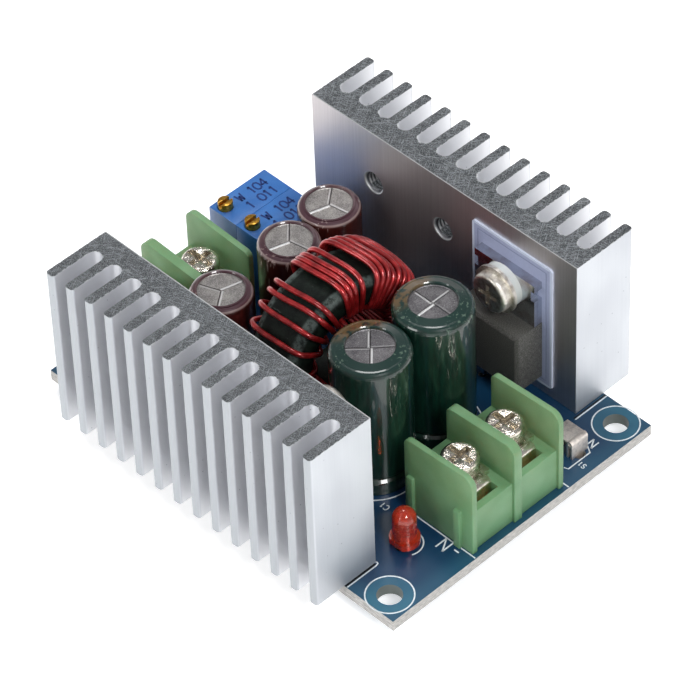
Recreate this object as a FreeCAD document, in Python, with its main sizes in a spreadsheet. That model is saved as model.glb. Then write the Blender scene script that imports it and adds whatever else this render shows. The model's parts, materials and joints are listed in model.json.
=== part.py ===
"""Step-down converter module: a circuit board between two finned heatsinks.

Frame: millimetres, +Z up. The origin is the centre of the four mounting holes on the board's
underside. X runs across the board from the left heatsink to the right one, and Y runs along the
heatsinks from the input terminal (-Y) to the output terminal (+Y).
"""
import FreeCAD, Part
import math
import os
import re

document = FreeCAD.newDocument("ConverterModule")
sheet = document.addObject("Spreadsheet::Sheet", "Sizes")

# Driving dimensions
SIZES = {
    # Board
    "board_width": 44.4,
    "board_length": 60.0,
    "board_thick": 1.6,
    "hole_inset_x": 2.75,
    "hole_inset_y": 3.3,
    "mount_hole_radius": 1.6,
    "drill_play": 0.15,
    "lead_tail": 1.5,
    "solder_height": 0.9,
    "solder_spread": 0.65,

    # Heatsinks
    "sink_span": 34.4,
    "sink_depth": 9.75,
    "sink_base": 3.0,
    "sink_length": 45.0,
    "sink_height": 24.5,
    "sink_shift_y": 0.4,
    "left_sink_lift": 0.4,
    "right_sink_lift": 0.1,
    "fin_count": 14,
    "fin_thick": 1.35,
    "fin_tip_radius": 0.45,
    "tap_radius": 1.25,
    "tap_mouth": 0.45,
    "tap_depth": 5.0,
    "tap_pitch": 12.0,
    "tap_height": 16.3,
    "sink_pin_radius": 0.9,
    "sink_pin_depth": 4.0,
    "sink_pin_pitch": 30.0,
    "sink_pin_tail": 1.8,

    # Transistor sets
    "pad_width": 13.3,
    "pad_height": 20.1,
    "pad_foot": 1.7,
    "pad_thick": 0.25,
    "pad_corner": 0.3,
    "tab_thick": 1.3,
    "tab_width": 10.0,
    "tab_top": 19.0,
    "tab_notch_depth": 0.6,
    "tab_notch_height": 1.5,
    "tab_notch_foot": 16.4,
    "case_depth": 4.45,
    "case_width": 10.1,
    "case_height": 9.1,
    "case_foot": 3.1,
    "case_draft": 0.35,
    "lead_width": 0.8,
    "lead_thick": 0.5,
    "lead_pitch": 2.54,
    "lead_depth": 2.6,
    "bushing_flange_radius": 3.0,
    "bushing_flange_thick": 1.15,
    "bushing_collar_radius": 1.85,
    "bushing_collar_long": 1.1,
    "sink_washer_radius": 3.3,
    "sink_washer_thick": 0.45,
    "sink_screw_radius": 1.5,
    "sink_screw_head_radius": 2.75,
    "sink_screw_head_high": 1.3,
    "sink_screw_bite": 4.0,
    "screw_play": 0.05,
    "recess_width": 0.6,
    "recess_depth": 0.8,

    # Inductor
    "coil_x": -1.4,
    "coil_y": 0.55,
    "coil_height": 11.85,
    "coil_turn_angle": -5.0,
    "core_radius": 10.0,
    "core_bore": 6.0,
    "core_long": 8.0,
    "core_edge": 1.3,
    "wire_radius": 0.45,
    "wire_bend": 1.4,
    "layer_step": 0.8,

    # Capacitors: y is measured from the board's nearer end
    "input_cap_radius": 4.95,
    "input_cap_high": 20.25,
    "output_cap_radius": 3.9,
    "output_cap_high": 16.0,
    "sleeve_thick": 0.12,
    "can_shoulder": 0.75,
    "can_bead_depth": 0.45,
    "can_bead_height": 2.2,
    "can_bead_width": 1.2,
    "bung_high": 1.8,
    "input_vent_radius": 3.05,
    "output_vent_radius": 2.95,
    "vent_sink": 0.1,
    "input_lip_rise": 0.35,
    "output_lip_rise": 0.2,
    "input_cap_pitch": 5.0,
    "output_cap_pitch": 3.5,
    "cap_lead_radius": 0.3,
    "input_cap_1_x": -5.94,
    "input_cap_1_y": 19.47,
    "input_cap_1_stand": 0.1,
    "input_cap_2_x": 4.25,
    "input_cap_2_y": 19.11,
    "input_cap_2_stand": 0.5,
    "output_cap_1_x": -8.59,
    "output_cap_1_y": 17.47,
    "output_cap_1_stand": 0.1,
    "output_cap_2_x": 3.06,
    "output_cap_2_y": 17.25,
    "output_cap_2_stand": 0.2,
    "output_cap_3_x": 11.05,
    "output_cap_3_y": 16.06,
    "output_cap_3_stand": 0.1,

    # Terminals
    "terminal_width": 15.54,
    "terminal_depth": 11.3,
    "input_terminal_inset": 0.67,
    "output_terminal_inset": 0.9,
    "input_terminal_x": -0.35,
    "output_terminal_x": -6.25,
    "deck_high": 6.5,
    "barrier_high": 12.5,
    "barrier_fall": 0.6,
    "barrier_round": 1.5,
    "end_barrier_thick": 0.8,
    "mid_barrier_thick": 1.3,
    "front_wall_set": 0.4,
    "rib_wide": 1.0,
    "rib_deep": 0.5,
    "rib_high": 6.2,
    "rib_front_gap": 2.3,
    "rib_back_gap": 1.2,
    "clamp_set": 5.9,
    "contact_thick": 0.8,
    "contact_width": 5.2,
    "contact_back": 2.6,
    "contact_front": 2.3,
    "tongue_width": 3.2,
    "tongue_set": 2.3,
    "tongue_bend": 0.7,
    "ridge_wide": 0.13,
    "ridge_high": 0.12,
    "ridge_pitch": 0.26,
    "slot_set": 1.4,
    "slot_play": 0.15,
    "pin_width": 1.2,
    "pin_shoulder": 1.5,
    "clamp_screw_radius": 1.5,
    "clamp_screw_long": 5.4,
    "clamp_head_radius": 2.4,
    "clamp_head_high": 2.75,
    "clamp_head_edge": 0.55,
    "clamp_recess_width": 0.85,
    "clamp_recess_long": 3.1,
    "clamp_slot_long": 3.8,
    "clamp_recess_depth": 1.2,
    "clamp_bore_play": 0.3,

    # Trimmers
    "trimmer_long": 9.53,
    "trimmer_wide": 4.83,
    "trimmer_high": 9.9,
    "trimmer_stand": 0.3,
    "trimmer_x": 12.87,
    "trimmer_far_y": 3.43,
    "trimmer_gap": 0.05,
    "trimmer_foot": 0.8,
    "adjuster_radius": 0.96,
    "adjuster_rise": 1.05,
    "adjuster_depth": 3.0,
    "adjuster_set": 1.4,
    "adjuster_side": 0.93,
    "adjuster_slot_width": 0.45,
    "adjuster_slot_depth": 0.6,
    "trimmer_pin_radius": 0.28,
    "trimmer_pin_pitch": 2.54,

    # LED: x is measured from the board's left edge and y from its front edge
    "led_x": 9.8,
    "led_y": 7.8,
    "led_radius": 1.5,
    "led_flange_radius": 1.9,
    "led_flange_thick": 0.8,
    "led_high": 5.4,
    "led_stand": 0.6,
    "led_lead": 0.45,
    "led_lead_pitch": 2.0,
    "led_post_high": 2.2,
    "led_cup_radius": 0.65,
    "led_cup_high": 0.9,

    # Folded link beside the positive input, from the board's right and front edges
    "link_x": 9.55,
    "link_y": 4.6,
    "link_width": 2.8,
    "link_long": 3.4,
    "link_high": 2.75,
    "link_thick": 0.25,
    "link_step": 0.1,
    "link_tab_width": 1.2,
    "hem_radius": 0.45,

    # Surface-mounted parts: x is measured from the nearer heatsink's face
    "chip_long": 4.9,
    "chip_wide": 3.9,
    "chip_high": 1.5,
    "chip_stand": 0.15,
    "chip_pitch": 1.27,
    "chip_lead_wide": 0.42,
    "chip_lead_thick": 0.2,
    "chip_lead_reach": 1.05,
    "controller_x": 4.0,
    "controller_y": 2.4,
    "amplifier_x": 3.6,
    "amplifier_y": 2.4,
    "regulator_x": 4.2,
    "regulator_y": -4.4,
    "regulator_long": 4.5,
    "regulator_wide": 2.5,
    "regulator_pitch": 1.5,
    "small_chip_long": 2.0,
    "small_chip_wide": 1.25,
    "resistor_high": 0.5,
    "capacitor_high": 0.9,
    "chip_column_gap": 2.4,
}

for row, (alias, number) in enumerate(SIZES.items(), start=1):
    sheet.set("A%d" % row, alias)
    sheet.set("B%d" % row, str(number))
    sheet.setAlias("B%d" % row, alias)
document.recompute()


def linked(text):
    """Turn the sheet's names in a formula into references to the sheet."""
    return re.sub(r"[a-z][a-z_0-9]*", lambda word: with_sheet(word.group()), text)


def with_sheet(word):
    return "Sizes." + word if word in SIZES else word


def value(alias):
    """The present number of one driving dimension."""
    return float(sheet.get(alias))


def bound(item, x="0", y="0", z="0", turn=None, **formulas):
    """Bind an object's sizes and the place of its own origin to formulas of the sheet."""
    if turn is not None:
        item.Placement = FreeCAD.Placement(FreeCAD.Vector(), turn)
    for name, formula in formulas.items():
        item.setExpression(name, linked(formula))
    for axis, formula in (("x", x), ("y", y), ("z", z)):
        item.setExpression("Placement.Base." + axis, linked(formula))
    return item


ALONG_X = FreeCAD.Rotation(FreeCAD.Vector(0, 1, 0), 90)
ALONG_MINUS_X = FreeCAD.Rotation(FreeCAD.Vector(0, 1, 0), -90)
ALONG_Y = FreeCAD.Rotation(FreeCAD.Vector(1, 0, 0), -90)
DOWN = FreeCAD.Rotation(FreeCAD.Vector(1, 0, 0), 180)


def block(name, long_x, long_y, long_z, x, y, z):
    """A box centred on x and y, standing on z."""
    item = document.addObject("Part::Box", name)
    centred_x = "(%s) - (%s) / 2" % (x, long_x)
    centred_y = "(%s) - (%s) / 2" % (y, long_y)
    return bound(item, centred_x, centred_y, z, Length=long_x, Width=long_y, Height=long_z)


def rod(name, radius, long, x, y, z, turn=None):
    """A cylinder that starts at a point and runs along +Z, or where turn sends +Z."""
    item = document.addObject("Part::Cylinder", name)
    return bound(item, x, y, z, turn, Radius=radius, Height=long)


def taper(name, radius_start, radius_end, long, x, y, z, turn=None):
    """A cone frustum that starts at a point and runs along +Z, or where turn sends +Z."""
    item = document.addObject("Part::Cone", name)
    return bound(item, x, y, z, turn, Radius1=radius_start, Radius2=radius_end, Height=long)


def joined(name, items):
    """The union of several objects as one solid."""
    item = document.addObject("Part::MultiFuse", name)
    item.Shapes = items
    item.Refine = True
    return item


def together(name, items):
    """Several solids kept separate in one object."""
    item = document.addObject("Part::Compound", name)
    item.Links = items
    return item


def without(name, base, tools):
    """An object with the space of other objects taken out of it."""
    tool = tools[0] if len(tools) == 1 else together(name + "_tools", tools)
    item = document.addObject("Part::Cut", name)
    item.Base = base
    item.Tool = tool
    item.Refine = True
    return item


def rounded(name, base, radius, chosen):
    """Fillet the edges of an object that chosen(edge) picks."""
    document.recompute()
    item = document.addObject("Part::Fillet", name)
    item.Base = base
    numbers = [n for n, edge in enumerate(base.Shape.Edges, 1) if chosen(edge)]
    item.Edges = [(n, radius, radius) for n in numbers]
    return item


def chamfered(name, base, width, chosen):
    """Chamfer the edges of an object that chosen(edge) picks."""
    document.recompute()
    item = document.addObject("Part::Chamfer", name)
    item.Base = base
    numbers = [n for n, edge in enumerate(base.Shape.Edges, 1) if chosen(edge)]
    item.Edges = [(n, width, width) for n in numbers]
    return item


def runs_along(edge, axis):
    """True for a straight edge parallel to one of the axes."""
    if edge.Curve.TypeId != "Part::GeomLine":
        return False
    return abs(abs(edge.Curve.Direction.dot(axis)) - 1) < 1e-6


def lies_at(edge, x=None, y=None, z=None):
    """True where an edge's middle has the given coordinates."""
    middle = edge.CenterOfMass
    pairs = ((middle.x, x), (middle.y, y), (middle.z, z))
    return all(wanted is None or abs(found - wanted) < 1e-3 for found, wanted in pairs)


AXIS_X = FreeCAD.Vector(1, 0, 0)
AXIS_Y = FreeCAD.Vector(0, 1, 0)
AXIS_Z = FreeCAD.Vector(0, 0, 1)
BOARD_TOP = "board_thick"
kept = []


def keep(item, label):
    """Name a finished sub-part, which gives it its file."""
    item.Label = label
    kept.append(item)
    return item


# Through-hole leads: each has a drilled hole in the board and a solder fillet below it
drillings = []
solder_fillets = []


def soldered(name, pin, reach, x, y):
    """Drill the board for a lead and put a solder fillet round it under the board."""
    drill = "%s + drill_play" % reach
    drillings.append(rod(name + "_drill", drill, "3 * board_thick", x, y, "-board_thick"))
    foot = "%s + solder_spread" % reach
    cone = taper(name + "_cone", foot, "%s + 0.05" % reach, "solder_height", x, y, "0", DOWN)
    solder_fillets.append(without(name + "_solder", cone, [pin]))


def square_tool(name, wide_x, wide_y, x, y):
    """The stretch of a square lead that crosses its solder fillet."""
    return block(name, wide_x, wide_y, "2 * solder_height", x, y, "-2 * solder_height")


def round_tool(name, radius, x, y):
    """The stretch of a round lead that crosses its solder fillet."""
    return rod(name, radius, "2 * solder_height", x, y, "-2 * solder_height")


def body_with_sketch(name, role):
    """A PartDesign body with a sketch on one of its own origin planes."""
    body = document.addObject("PartDesign::Body", name)
    return body, sketch_on(body, name + "_outline", role)


def sketch_on(body, name, role):
    sketch = body.newObject("Sketcher::SketchObject", name)
    plane = next(item for item in body.Origin.OriginFeatures if item.Role == role)
    sketch.AttachmentSupport = (plane, [""])
    sketch.MapMode = "FlatFace"
    return sketch


def draw_rectangle(sketch, left, bottom, wide, high):
    """Draw a rectangle whose corner and sides are bound to formulas."""
    vector = FreeCAD.Vector
    corners = [vector(1, 1, 0), vector(2, 1, 0), vector(2, 2, 0), vector(1, 2, 0)]
    first = sketch.GeometryCount
    for corner, following in zip(corners, corners[1:] + corners[:1]):
        sketch.addGeometry(Part.LineSegment(corner, following), False)
    import Sketcher
    for side in range(4):
        sketch.addConstraint(Sketcher.Constraint(
            "Coincident", first + side, 2, first + (side + 1) % 4, 1))
    for side, kind in enumerate(("Horizontal", "Vertical", "Horizontal", "Vertical")):
        sketch.addConstraint(Sketcher.Constraint(kind, first + side))
    named = (("DistanceX", -1, 1, first, 1, left), ("DistanceY", -1, 1, first, 1, bottom),
             ("DistanceX", first, 1, first, 2, wide), ("DistanceY", first + 1, 1, first + 1, 2, high))
    for kind, one, one_end, other, other_end, formula in named:
        number = sketch.addConstraint(Sketcher.Constraint(kind, one, one_end, other, other_end, 1.0))
        sketch.setExpression("Constraints[%d]" % number, linked(formula))


def draw_circle(sketch, x, y, radius):
    """Draw a circle whose centre and radius are bound to formulas."""
    import Sketcher
    circle = sketch.addGeometry(Part.Circle(FreeCAD.Vector(1, 1, 0), AXIS_Z, 1.0), False)
    for kind, formula in (("DistanceX", x), ("DistanceY", y)):
        number = sketch.addConstraint(Sketcher.Constraint(kind, -1, 1, circle, 3, 1.0))
        sketch.setExpression("Constraints[%d]" % number, linked(formula))
    number = sketch.addConstraint(Sketcher.Constraint("Radius", circle, 1.0))
    sketch.setExpression("Constraints[%d]" % number, linked(radius))


# Heatsinks: an extruded comb. The base plate faces inwards and the fins point outwards.
FIN_PITCH = "((sink_length - fin_thick) / (fin_count - 1))"
SLOT_WIDTH = "(%s - fin_thick)" % FIN_PITCH
SLOT_DEPTH = "(sink_depth - sink_base)"
TAP_PLACES = {"front": "sink_shift_y - tap_pitch", "mid": "sink_shift_y",
              "back": "sink_shift_y + tap_pitch"}
SINK_PIN_PLACES = {"front": "sink_shift_y - sink_pin_pitch / 2",
                   "back": "sink_shift_y + sink_pin_pitch / 2"}


def extrusion(side, sign, lift):
    """The comb with full-round slot bottoms and rounded fin tips."""
    body, outline = body_with_sketch("sink_body_" + side, "XY_Plane")
    inner = "%d * sink_span / 2" % sign
    outer = "%d * (sink_span / 2 + sink_depth)" % sign
    left = inner if sign > 0 else outer
    front = "sink_shift_y - sink_length / 2"
    draw_rectangle(outline, left, front, "sink_depth", "sink_length")
    plate = body.newObject("PartDesign::Pad", "sink_plate_" + side)
    plate.Profile = outline
    plate.setExpression("Length", linked("sink_height"))
    mouth = sketch_on(body, "slot_" + side, "XY_Plane")
    root = "%d * (sink_span / 2 + sink_base + %s / 2)" % (sign, SLOT_WIDTH)
    slot_long = "%s - %s / 2 + 1" % (SLOT_DEPTH, SLOT_WIDTH)
    slot_left = root if sign > 0 else "%s - (%s)" % (root, slot_long)
    slot_front = "%s + fin_thick" % front
    draw_rectangle(mouth, slot_left, slot_front, slot_long, SLOT_WIDTH)
    slot = pocket_through(body, "slot_cut_" + side, mouth)
    end = sketch_on(body, "slot_end_" + side, "XY_Plane")
    draw_circle(end, root, "%s + %s / 2" % (slot_front, SLOT_WIDTH), "%s / 2" % SLOT_WIDTH)
    slot_end = pocket_through(body, "slot_end_cut_" + side, end)
    row = body.newObject("PartDesign::LinearPattern", "slot_row_" + side)
    row.Originals = [slot, slot_end]
    axis = next(item for item in body.Origin.OriginFeatures if item.Role == "Y_Axis")
    row.Direction = (axis, [""])
    row.Mode = "Spacing"
    row.setExpression("Offset", linked(FIN_PITCH))
    row.setExpression("Occurrences", linked("fin_count - 1"))
    body.Tip = row
    body.setExpression("Placement.Base.z", linked("%s + %s" % (BOARD_TOP, lift)))
    tip_x = sign * (value("sink_span") / 2 + value("sink_depth"))
    return rounded("sink_tips_" + side, body, value("fin_tip_radius"),
                   lambda edge: runs_along(edge, AXIS_Z) and lies_at(edge, x=tip_x))


def pocket_through(body, name, sketch):
    pocket = body.newObject("PartDesign::Pocket", name)
    pocket.Profile = sketch
    pocket.setExpression("Length", linked("sink_height"))
    pocket.Reversed = True
    return pocket


def tapped_hole(name, side, sign, y, lift):
    """A blind tapped hole in the inner face with a countersunk mouth."""
    outward = ALONG_X if sign > 0 else ALONG_MINUS_X
    face = "%d * sink_span / 2" % sign
    height = "%s + %s + tap_height" % (BOARD_TOP, lift)
    bore = rod(name + "_bore", "tap_radius", "tap_depth", face, y, height, outward)
    mouth = taper(name + "_mouth", "tap_radius + tap_mouth", "tap_radius", "tap_mouth",
                  face, y, height, outward)
    return [bore, mouth]


def heatsink(side, sign, lift):
    comb = extrusion(side, sign, lift)
    cuts = []
    for place, y in TAP_PLACES.items():
        cuts += tapped_hole("tap_%s_%s" % (side, place), side, sign, y, lift)
    for end, y in SINK_PIN_PLACES.items():
        cuts.append(sink_pin("sink_pin_hole_%s_%s" % (side, end), sign, y, lift))
    keep(without("heatsink_%s_cut" % side, comb, cuts), "heatsink_" + side)


SINK_PIN_X = "%d * (sink_span / 2 + sink_base / 2)"


def sink_pin(name, sign, y, lift):
    """The pin that stands in the heatsink's base plate and goes through the board."""
    long = "sink_pin_tail + %s + %s + sink_pin_depth" % (BOARD_TOP, lift)
    return rod(name, "sink_pin_radius", long, SINK_PIN_X % sign, y, "-sink_pin_tail")


heatsink("left", -1, "left_sink_lift")
heatsink("right", 1, "right_sink_lift")

pins = []
for side, sign, lift in (("left", -1, "left_sink_lift"), ("right", 1, "right_sink_lift")):
    for end, y in SINK_PIN_PLACES.items():
        name = "sink_pin_%s_%s" % (side, end)
        pins.append(sink_pin(name, sign, y, lift))
        tool = round_tool(name + "_tool", "sink_pin_radius", SINK_PIN_X % sign, y)
        soldered(name, tool, "sink_pin_radius", SINK_PIN_X % sign, y)
keep(together("sink_pin_group", pins), "heatsink_pins")


# Transistor sets: pad, tab with leads, moulded case, bushing, washer and screw on each sink
def transistor_set(side, sign, lift, device):
    y = TAP_PLACES["front"]
    face = "%d * sink_span / 2" % sign
    inward = ALONG_MINUS_X if sign > 0 else ALONG_X
    axis_z = "%s + %s + tap_height" % (BOARD_TOP, lift)
    pad_plate = block("pad_plate_" + side, "pad_thick", "pad_width", "pad_height",
                      "%s - %d * pad_thick / 2" % (face, sign), y, "%s + pad_foot" % BOARD_TOP)
    pad_cut = chamfered("pad_corners_" + side, pad_plate, value("pad_corner"),
                        lambda edge: runs_along(edge, AXIS_X))
    pad_hole = rod("pad_hole_" + side, "bushing_collar_radius", "2 * pad_thick",
                   "%s + %d * pad_thick / 2" % (face, sign), y, axis_z, inward)
    keep(without("pad_" + side, pad_cut, [pad_hole]), "insulating_pad_" + side)

    tab_back = "(%s - %d * pad_thick)" % (face, sign)
    tab_middle = "%s - %d * tab_thick / 2" % (tab_back, sign)
    tab_foot = "%s + case_foot + case_draft" % BOARD_TOP
    tab_high = "tab_top - case_foot - case_draft"
    plate = block("tab_plate_" + side, "tab_thick", "tab_width", tab_high, tab_middle, y, tab_foot)
    notch_foot = "%s + tab_notch_foot" % BOARD_TOP
    notches = []
    for end in (-1, 1):
        edge_y = "%s + %d * tab_width / 2" % (y, end)
        notches.append(block("tab_notch_%s_%d" % (side, end + 1), "2 * tab_thick", "2 * tab_notch_depth",
                             "tab_notch_height", tab_middle, edge_y, notch_foot))
    hole = rod("tab_hole_" + side, "bushing_collar_radius", "2 * tab_thick",
               "%s + %d * tab_thick / 2" % (tab_back, sign), y, axis_z, inward)
    tab = without("tab_" + side, plate, notches + [hole])

    lead_x = "%s - %d * lead_depth" % (tab_back, sign)
    lead_top = "%s + case_foot + case_height / 4" % BOARD_TOP
    lead_long = "lead_tail + %s" % lead_top
    leads = []
    for number in (-1, 0, 1):
        lead_y = "%s + %d * lead_pitch" % (y, number)
        name = "lead_%s_%d" % (side, number + 2)
        leads.append(block(name, "lead_thick", "lead_width", lead_long, lead_x, lead_y, "-lead_tail"))
        tool = square_tool(name + "_tool", "lead_thick", "lead_width", lead_x, lead_y)
        soldered(name, tool, "lead_width / 2", lead_x, lead_y)
    bridge_x = "%s - %d * (lead_depth + tab_thick) / 2" % (tab_back, sign)
    bridge_long = "lead_depth - tab_thick + lead_thick"
    bridge_z = "%s - lead_thick" % lead_top
    bridge = block("lead_bridge_" + side, bridge_long, "lead_width", "lead_thick", bridge_x, y, bridge_z)
    frame = together("leadframe_" + side, [joined("tab_with_lead_" + side, [tab, leads[1], bridge]),
                                           leads[0], leads[2]])

    case_x = "%s - %d * case_depth / 2" % (tab_back, sign)
    slab = block("case_slab_" + side, "case_depth", "case_width", "case_height",
                 case_x, y, "%s + case_foot" % BOARD_TOP)
    front_x = sign * (value("sink_span") / 2 - value("pad_thick") - value("case_depth"))
    moulded = chamfered("case_edges_" + side, slab, value("case_draft"),
                        lambda edge: lies_at(edge, x=front_x))
    keep(without("case_" + side, moulded, [frame]), device + "_case")
    keep(frame, device + "_leadframe")

    flange_face = "(%s - %d * tab_thick)" % (tab_back, sign)
    flange = rod("bushing_flange_" + side, "bushing_flange_radius", "bushing_flange_thick",
                 flange_face, y, axis_z, inward)
    collar = rod("bushing_collar_" + side, "bushing_collar_radius",
                 "bushing_collar_long + bushing_flange_thick",
                 "%s + %d * bushing_collar_long" % (flange_face, sign), y, axis_z, inward)
    bore = rod("bushing_bore_" + side, "sink_screw_radius + screw_play", "4 * bushing_flange_thick",
               face, y, axis_z, inward)
    keep(without("bushing_" + side, joined("bushing_solid_" + side, [flange, collar]), [bore]),
         "screw_bushing_" + side)

    washer_face = "(%s - %d * bushing_flange_thick)" % (flange_face, sign)
    disc = rod("washer_disc_" + side, "sink_washer_radius", "sink_washer_thick", washer_face, y, axis_z,
               inward)
    washer_bore = rod("washer_bore_" + side, "sink_screw_radius + screw_play", "3 * sink_washer_thick",
                      "%s + %d * sink_washer_thick" % (washer_face, sign), y, axis_z, inward)
    keep(without("washer_" + side, disc, [washer_bore]), "sink_washer_" + side)

    head_face = "(%s - %d * sink_washer_thick)" % (washer_face, sign)
    head = rod("head_" + side, "sink_screw_head_radius", "sink_screw_head_high", head_face, y, axis_z, inward)
    head_x = sign * (value("sink_span") / 2 - value("pad_thick") - value("tab_thick")
                     - value("bushing_flange_thick") - value("sink_washer_thick")
                     - value("sink_screw_head_high"))
    domed = rounded("head_dome_" + side, head, 0.45 * value("sink_screw_head_high"),
                    lambda edge: edge.Closed and lies_at(edge, x=head_x))
    shank = rod("shank_" + side, "sink_screw_radius",
                "sink_washer_thick + bushing_flange_thick + tab_thick + pad_thick",
                face, y, axis_z, inward)
    thread = rod("thread_" + side, "tap_radius", "sink_screw_bite",
                 "%s + %d * sink_screw_bite" % (face, sign), y, axis_z, inward)
    recess_x = "%s - %d * (sink_screw_head_high - recess_depth / 2)" % (head_face, sign)
    bars = []
    for number, (wide_y, wide_z) in enumerate((("recess_width", "sink_screw_head_radius * 1.1"),
                                               ("sink_screw_head_radius * 1.1", "recess_width"))):
        bars.append(block("recess_%s_%d" % (side, number), "recess_depth", wide_y, wide_z, recess_x, y,
                          "%s - (%s) / 2" % (axis_z, wide_z)))
    solid = joined("sink_screw_solid_" + side, [domed, shank, thread])
    keep(without("sink_screw_" + side + "_cut", solid, bars), "sink_screw_" + side)


transistor_set("right", 1, "right_sink_lift", "transistor")
transistor_set("left", -1, "left_sink_lift", "rectifier")


# Inductor: an upright ring core with one wire wound round its section
COIL_Z = "%s + coil_height" % BOARD_TOP
COIL_TURN = FreeCAD.Rotation(AXIS_Z, value("coil_turn_angle"))


def ring_core():
    turn = COIL_TURN.multiply(ALONG_Y)
    outside = rod("core_outside", "core_radius", "core_long", "0", "-core_long / 2", "0", ALONG_Y)
    bore = rod("core_bore_cut", "core_bore", "2 * core_long", "0", "-core_long", "0", ALONG_Y)
    ring = without("core_ring", outside, [bore])
    soft = rounded("core_soft", ring, value("core_edge"), lambda edge: edge.Closed)
    placed = together("core_placed", [soft])
    bound(placed, "coil_x", "coil_y", COIL_Z, COIL_TURN)
    return turn, placed


keep(ring_core()[1], "inductor_core")

# Turns seen in the gap-toothed left group, in degrees about the core's axis, with their layer
LOOSE_TURNS = ((117.5, 0), (124.5, 1), (135.5, 0), (150.0, 0), (168.0, 0), (186.0, 0), (204.0, 0), (222.0, 0))
BUNCH_CENTRES = (-42.0, -19.0, 4.0, 27.0, 49.5, 70.0, 92.0)
BUNCH_STEP = 5.0
LEAD_ANGLES = (-60.0, 240.0)


def winding_turns():
    """Every turn's angle and layer: bunches of three with the middle one outermost, then loose ones."""
    turns = []
    for centre in BUNCH_CENTRES:
        turns += [(centre - BUNCH_STEP, 0), (centre, 1), (centre + BUNCH_STEP, 0)]
    return turns + list(LOOSE_TURNS)


def winding_route():
    """The corner points of the wire, from one lead through every turn to the other lead."""
    wire = value("wire_radius")
    outer = value("core_radius") + wire
    floor = -value("coil_height") - value("board_thick") - value("lead_tail")

    def point(radius, angle, y):
        turned = math.radians(angle)
        return FreeCAD.Vector(radius * math.cos(turned), y, radius * math.sin(turned))

    def height(layer):
        return value("core_long") / 2 + wire + layer * value("layer_step")

    def inner(layer):
        return value("core_bore") - wire - 2 * wire * layer

    start = point(outer, LEAD_ANGLES[0], height(0))
    route = [FreeCAD.Vector(start.x, start.y, floor), start]
    back = height(0)
    angle_before, layer_before = LEAD_ANGLES[0], 0
    route.append(point(outer, angle_before, -height(0)))
    route.append(point(inner(0), angle_before, -height(0)))
    route.append(point(inner(0), angle_before, height(0)))
    for angle, layer in winding_turns():
        back = height(layer_before)
        route.append(point(outer, angle, back))
        route.append(point(outer, angle, -height(layer)))
        route.append(point(inner(layer), angle, -height(layer)))
        route.append(point(inner(layer), angle, height(layer)))
        layer_before = layer
    finish = point(outer, LEAD_ANGLES[1], height(layer_before))
    route.append(finish)
    route.append(FreeCAD.Vector(finish.x, finish.y, floor))
    return route


def bent_wire(route, radius, bend):
    """A round wire along straight runs joined by tangent arcs."""
    edges = []
    start = route[0]
    for before, corner, after in zip(route, route[1:], route[2:]):
        towards = (corner - before).normalize()
        away = (after - corner).normalize()
        turn = towards.getAngle(away)
        reach = bend * math.tan(turn / 2)
        one = corner - towards * reach
        two = corner + away * reach
        middle_way = (away - towards).normalize()
        middle = corner + middle_way * (bend / math.cos(turn / 2) - bend)
        edges.append(Part.LineSegment(start, one).toShape())
        edges.append(Part.Arc(one, middle, two).toShape())
        start = two
    edges.append(Part.LineSegment(start, route[-1]).toShape())
    path = Part.Wire(edges)
    first = (route[1] - route[0]).normalize()
    section = Part.Wire([Part.Circle(route[0], first, radius).toShape()])
    wire = path.makePipeShell([section], True, False)
    expected = math.pi * radius ** 2 * path.Length
    print("wire %.1f mm long, volume %.2f of %.2f expected" % (path.Length, wire.Volume, expected))
    return wire


winding = document.addObject("Part::Feature", "winding")
winding_points = winding_route()
winding.Shape = bent_wire(winding_points, value("wire_radius"), value("wire_bend"))
winding.Placement.Rotation = COIL_TURN
bound(winding, "coil_x", "coil_y", COIL_Z, COIL_TURN)
keep(winding, "inductor_winding")
for number, end in enumerate((winding_points[0], winding_points[-1]), 1):
    turned = COIL_TURN.multVec(end)
    lead_x = "coil_x + %.6f" % turned.x
    lead_y = "coil_y + %.6f" % turned.y
    lead_tool = round_tool("coil_lead_tool_%d" % number, "wire_radius", lead_x, lead_y)
    soldered("coil_lead_%d" % number, lead_tool, "wire_radius", lead_x, lead_y)


# Electrolytic capacitors: can with a scored vent, shrink sleeve, rubber bung and two leads
def turned_profile(name, points, x, y, z):
    """A solid of revolution about Z from a closed outline of radius and height pairs."""
    corners = [FreeCAD.Vector(radius, 0, height) for radius, height in points]
    outline = Part.makePolygon(corners + corners[:1])
    solid = Part.Face(outline).revolve(FreeCAD.Vector(), AXIS_Z, 360)
    item = document.addObject("Part::Feature", name)
    item.Shape = solid
    return bound(item, x, y, z)


def bead_curve(radius, foot, gauge):
    """The rolled groove above a can's open end, at a given distance inside its outer skin."""
    depth = value("can_bead_depth")
    wide = value("can_bead_width")
    middle = foot + value("can_bead_height")
    return [(radius - gauge - depth * 0.5 * (1 - math.cos(math.radians(angle))),
             middle - wide / 2 + wide * angle / 360) for angle in range(0, 361, 45)]


def shoulder_curve(radius, top, inset):
    """A quarter round from a can's side to its end, offset outwards by inset."""
    bend = value("can_shoulder")
    return [(radius - bend + (bend + inset) * math.cos(math.radians(angle)),
             top - bend + (bend + inset) * math.sin(math.radians(angle))) for angle in range(0, 91, 15)]


CAPACITOR_Y = {"input": "(input_cap_%d_y - board_length / 2)",
               "output": "(board_length / 2 - output_cap_%d_y)"}


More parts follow.
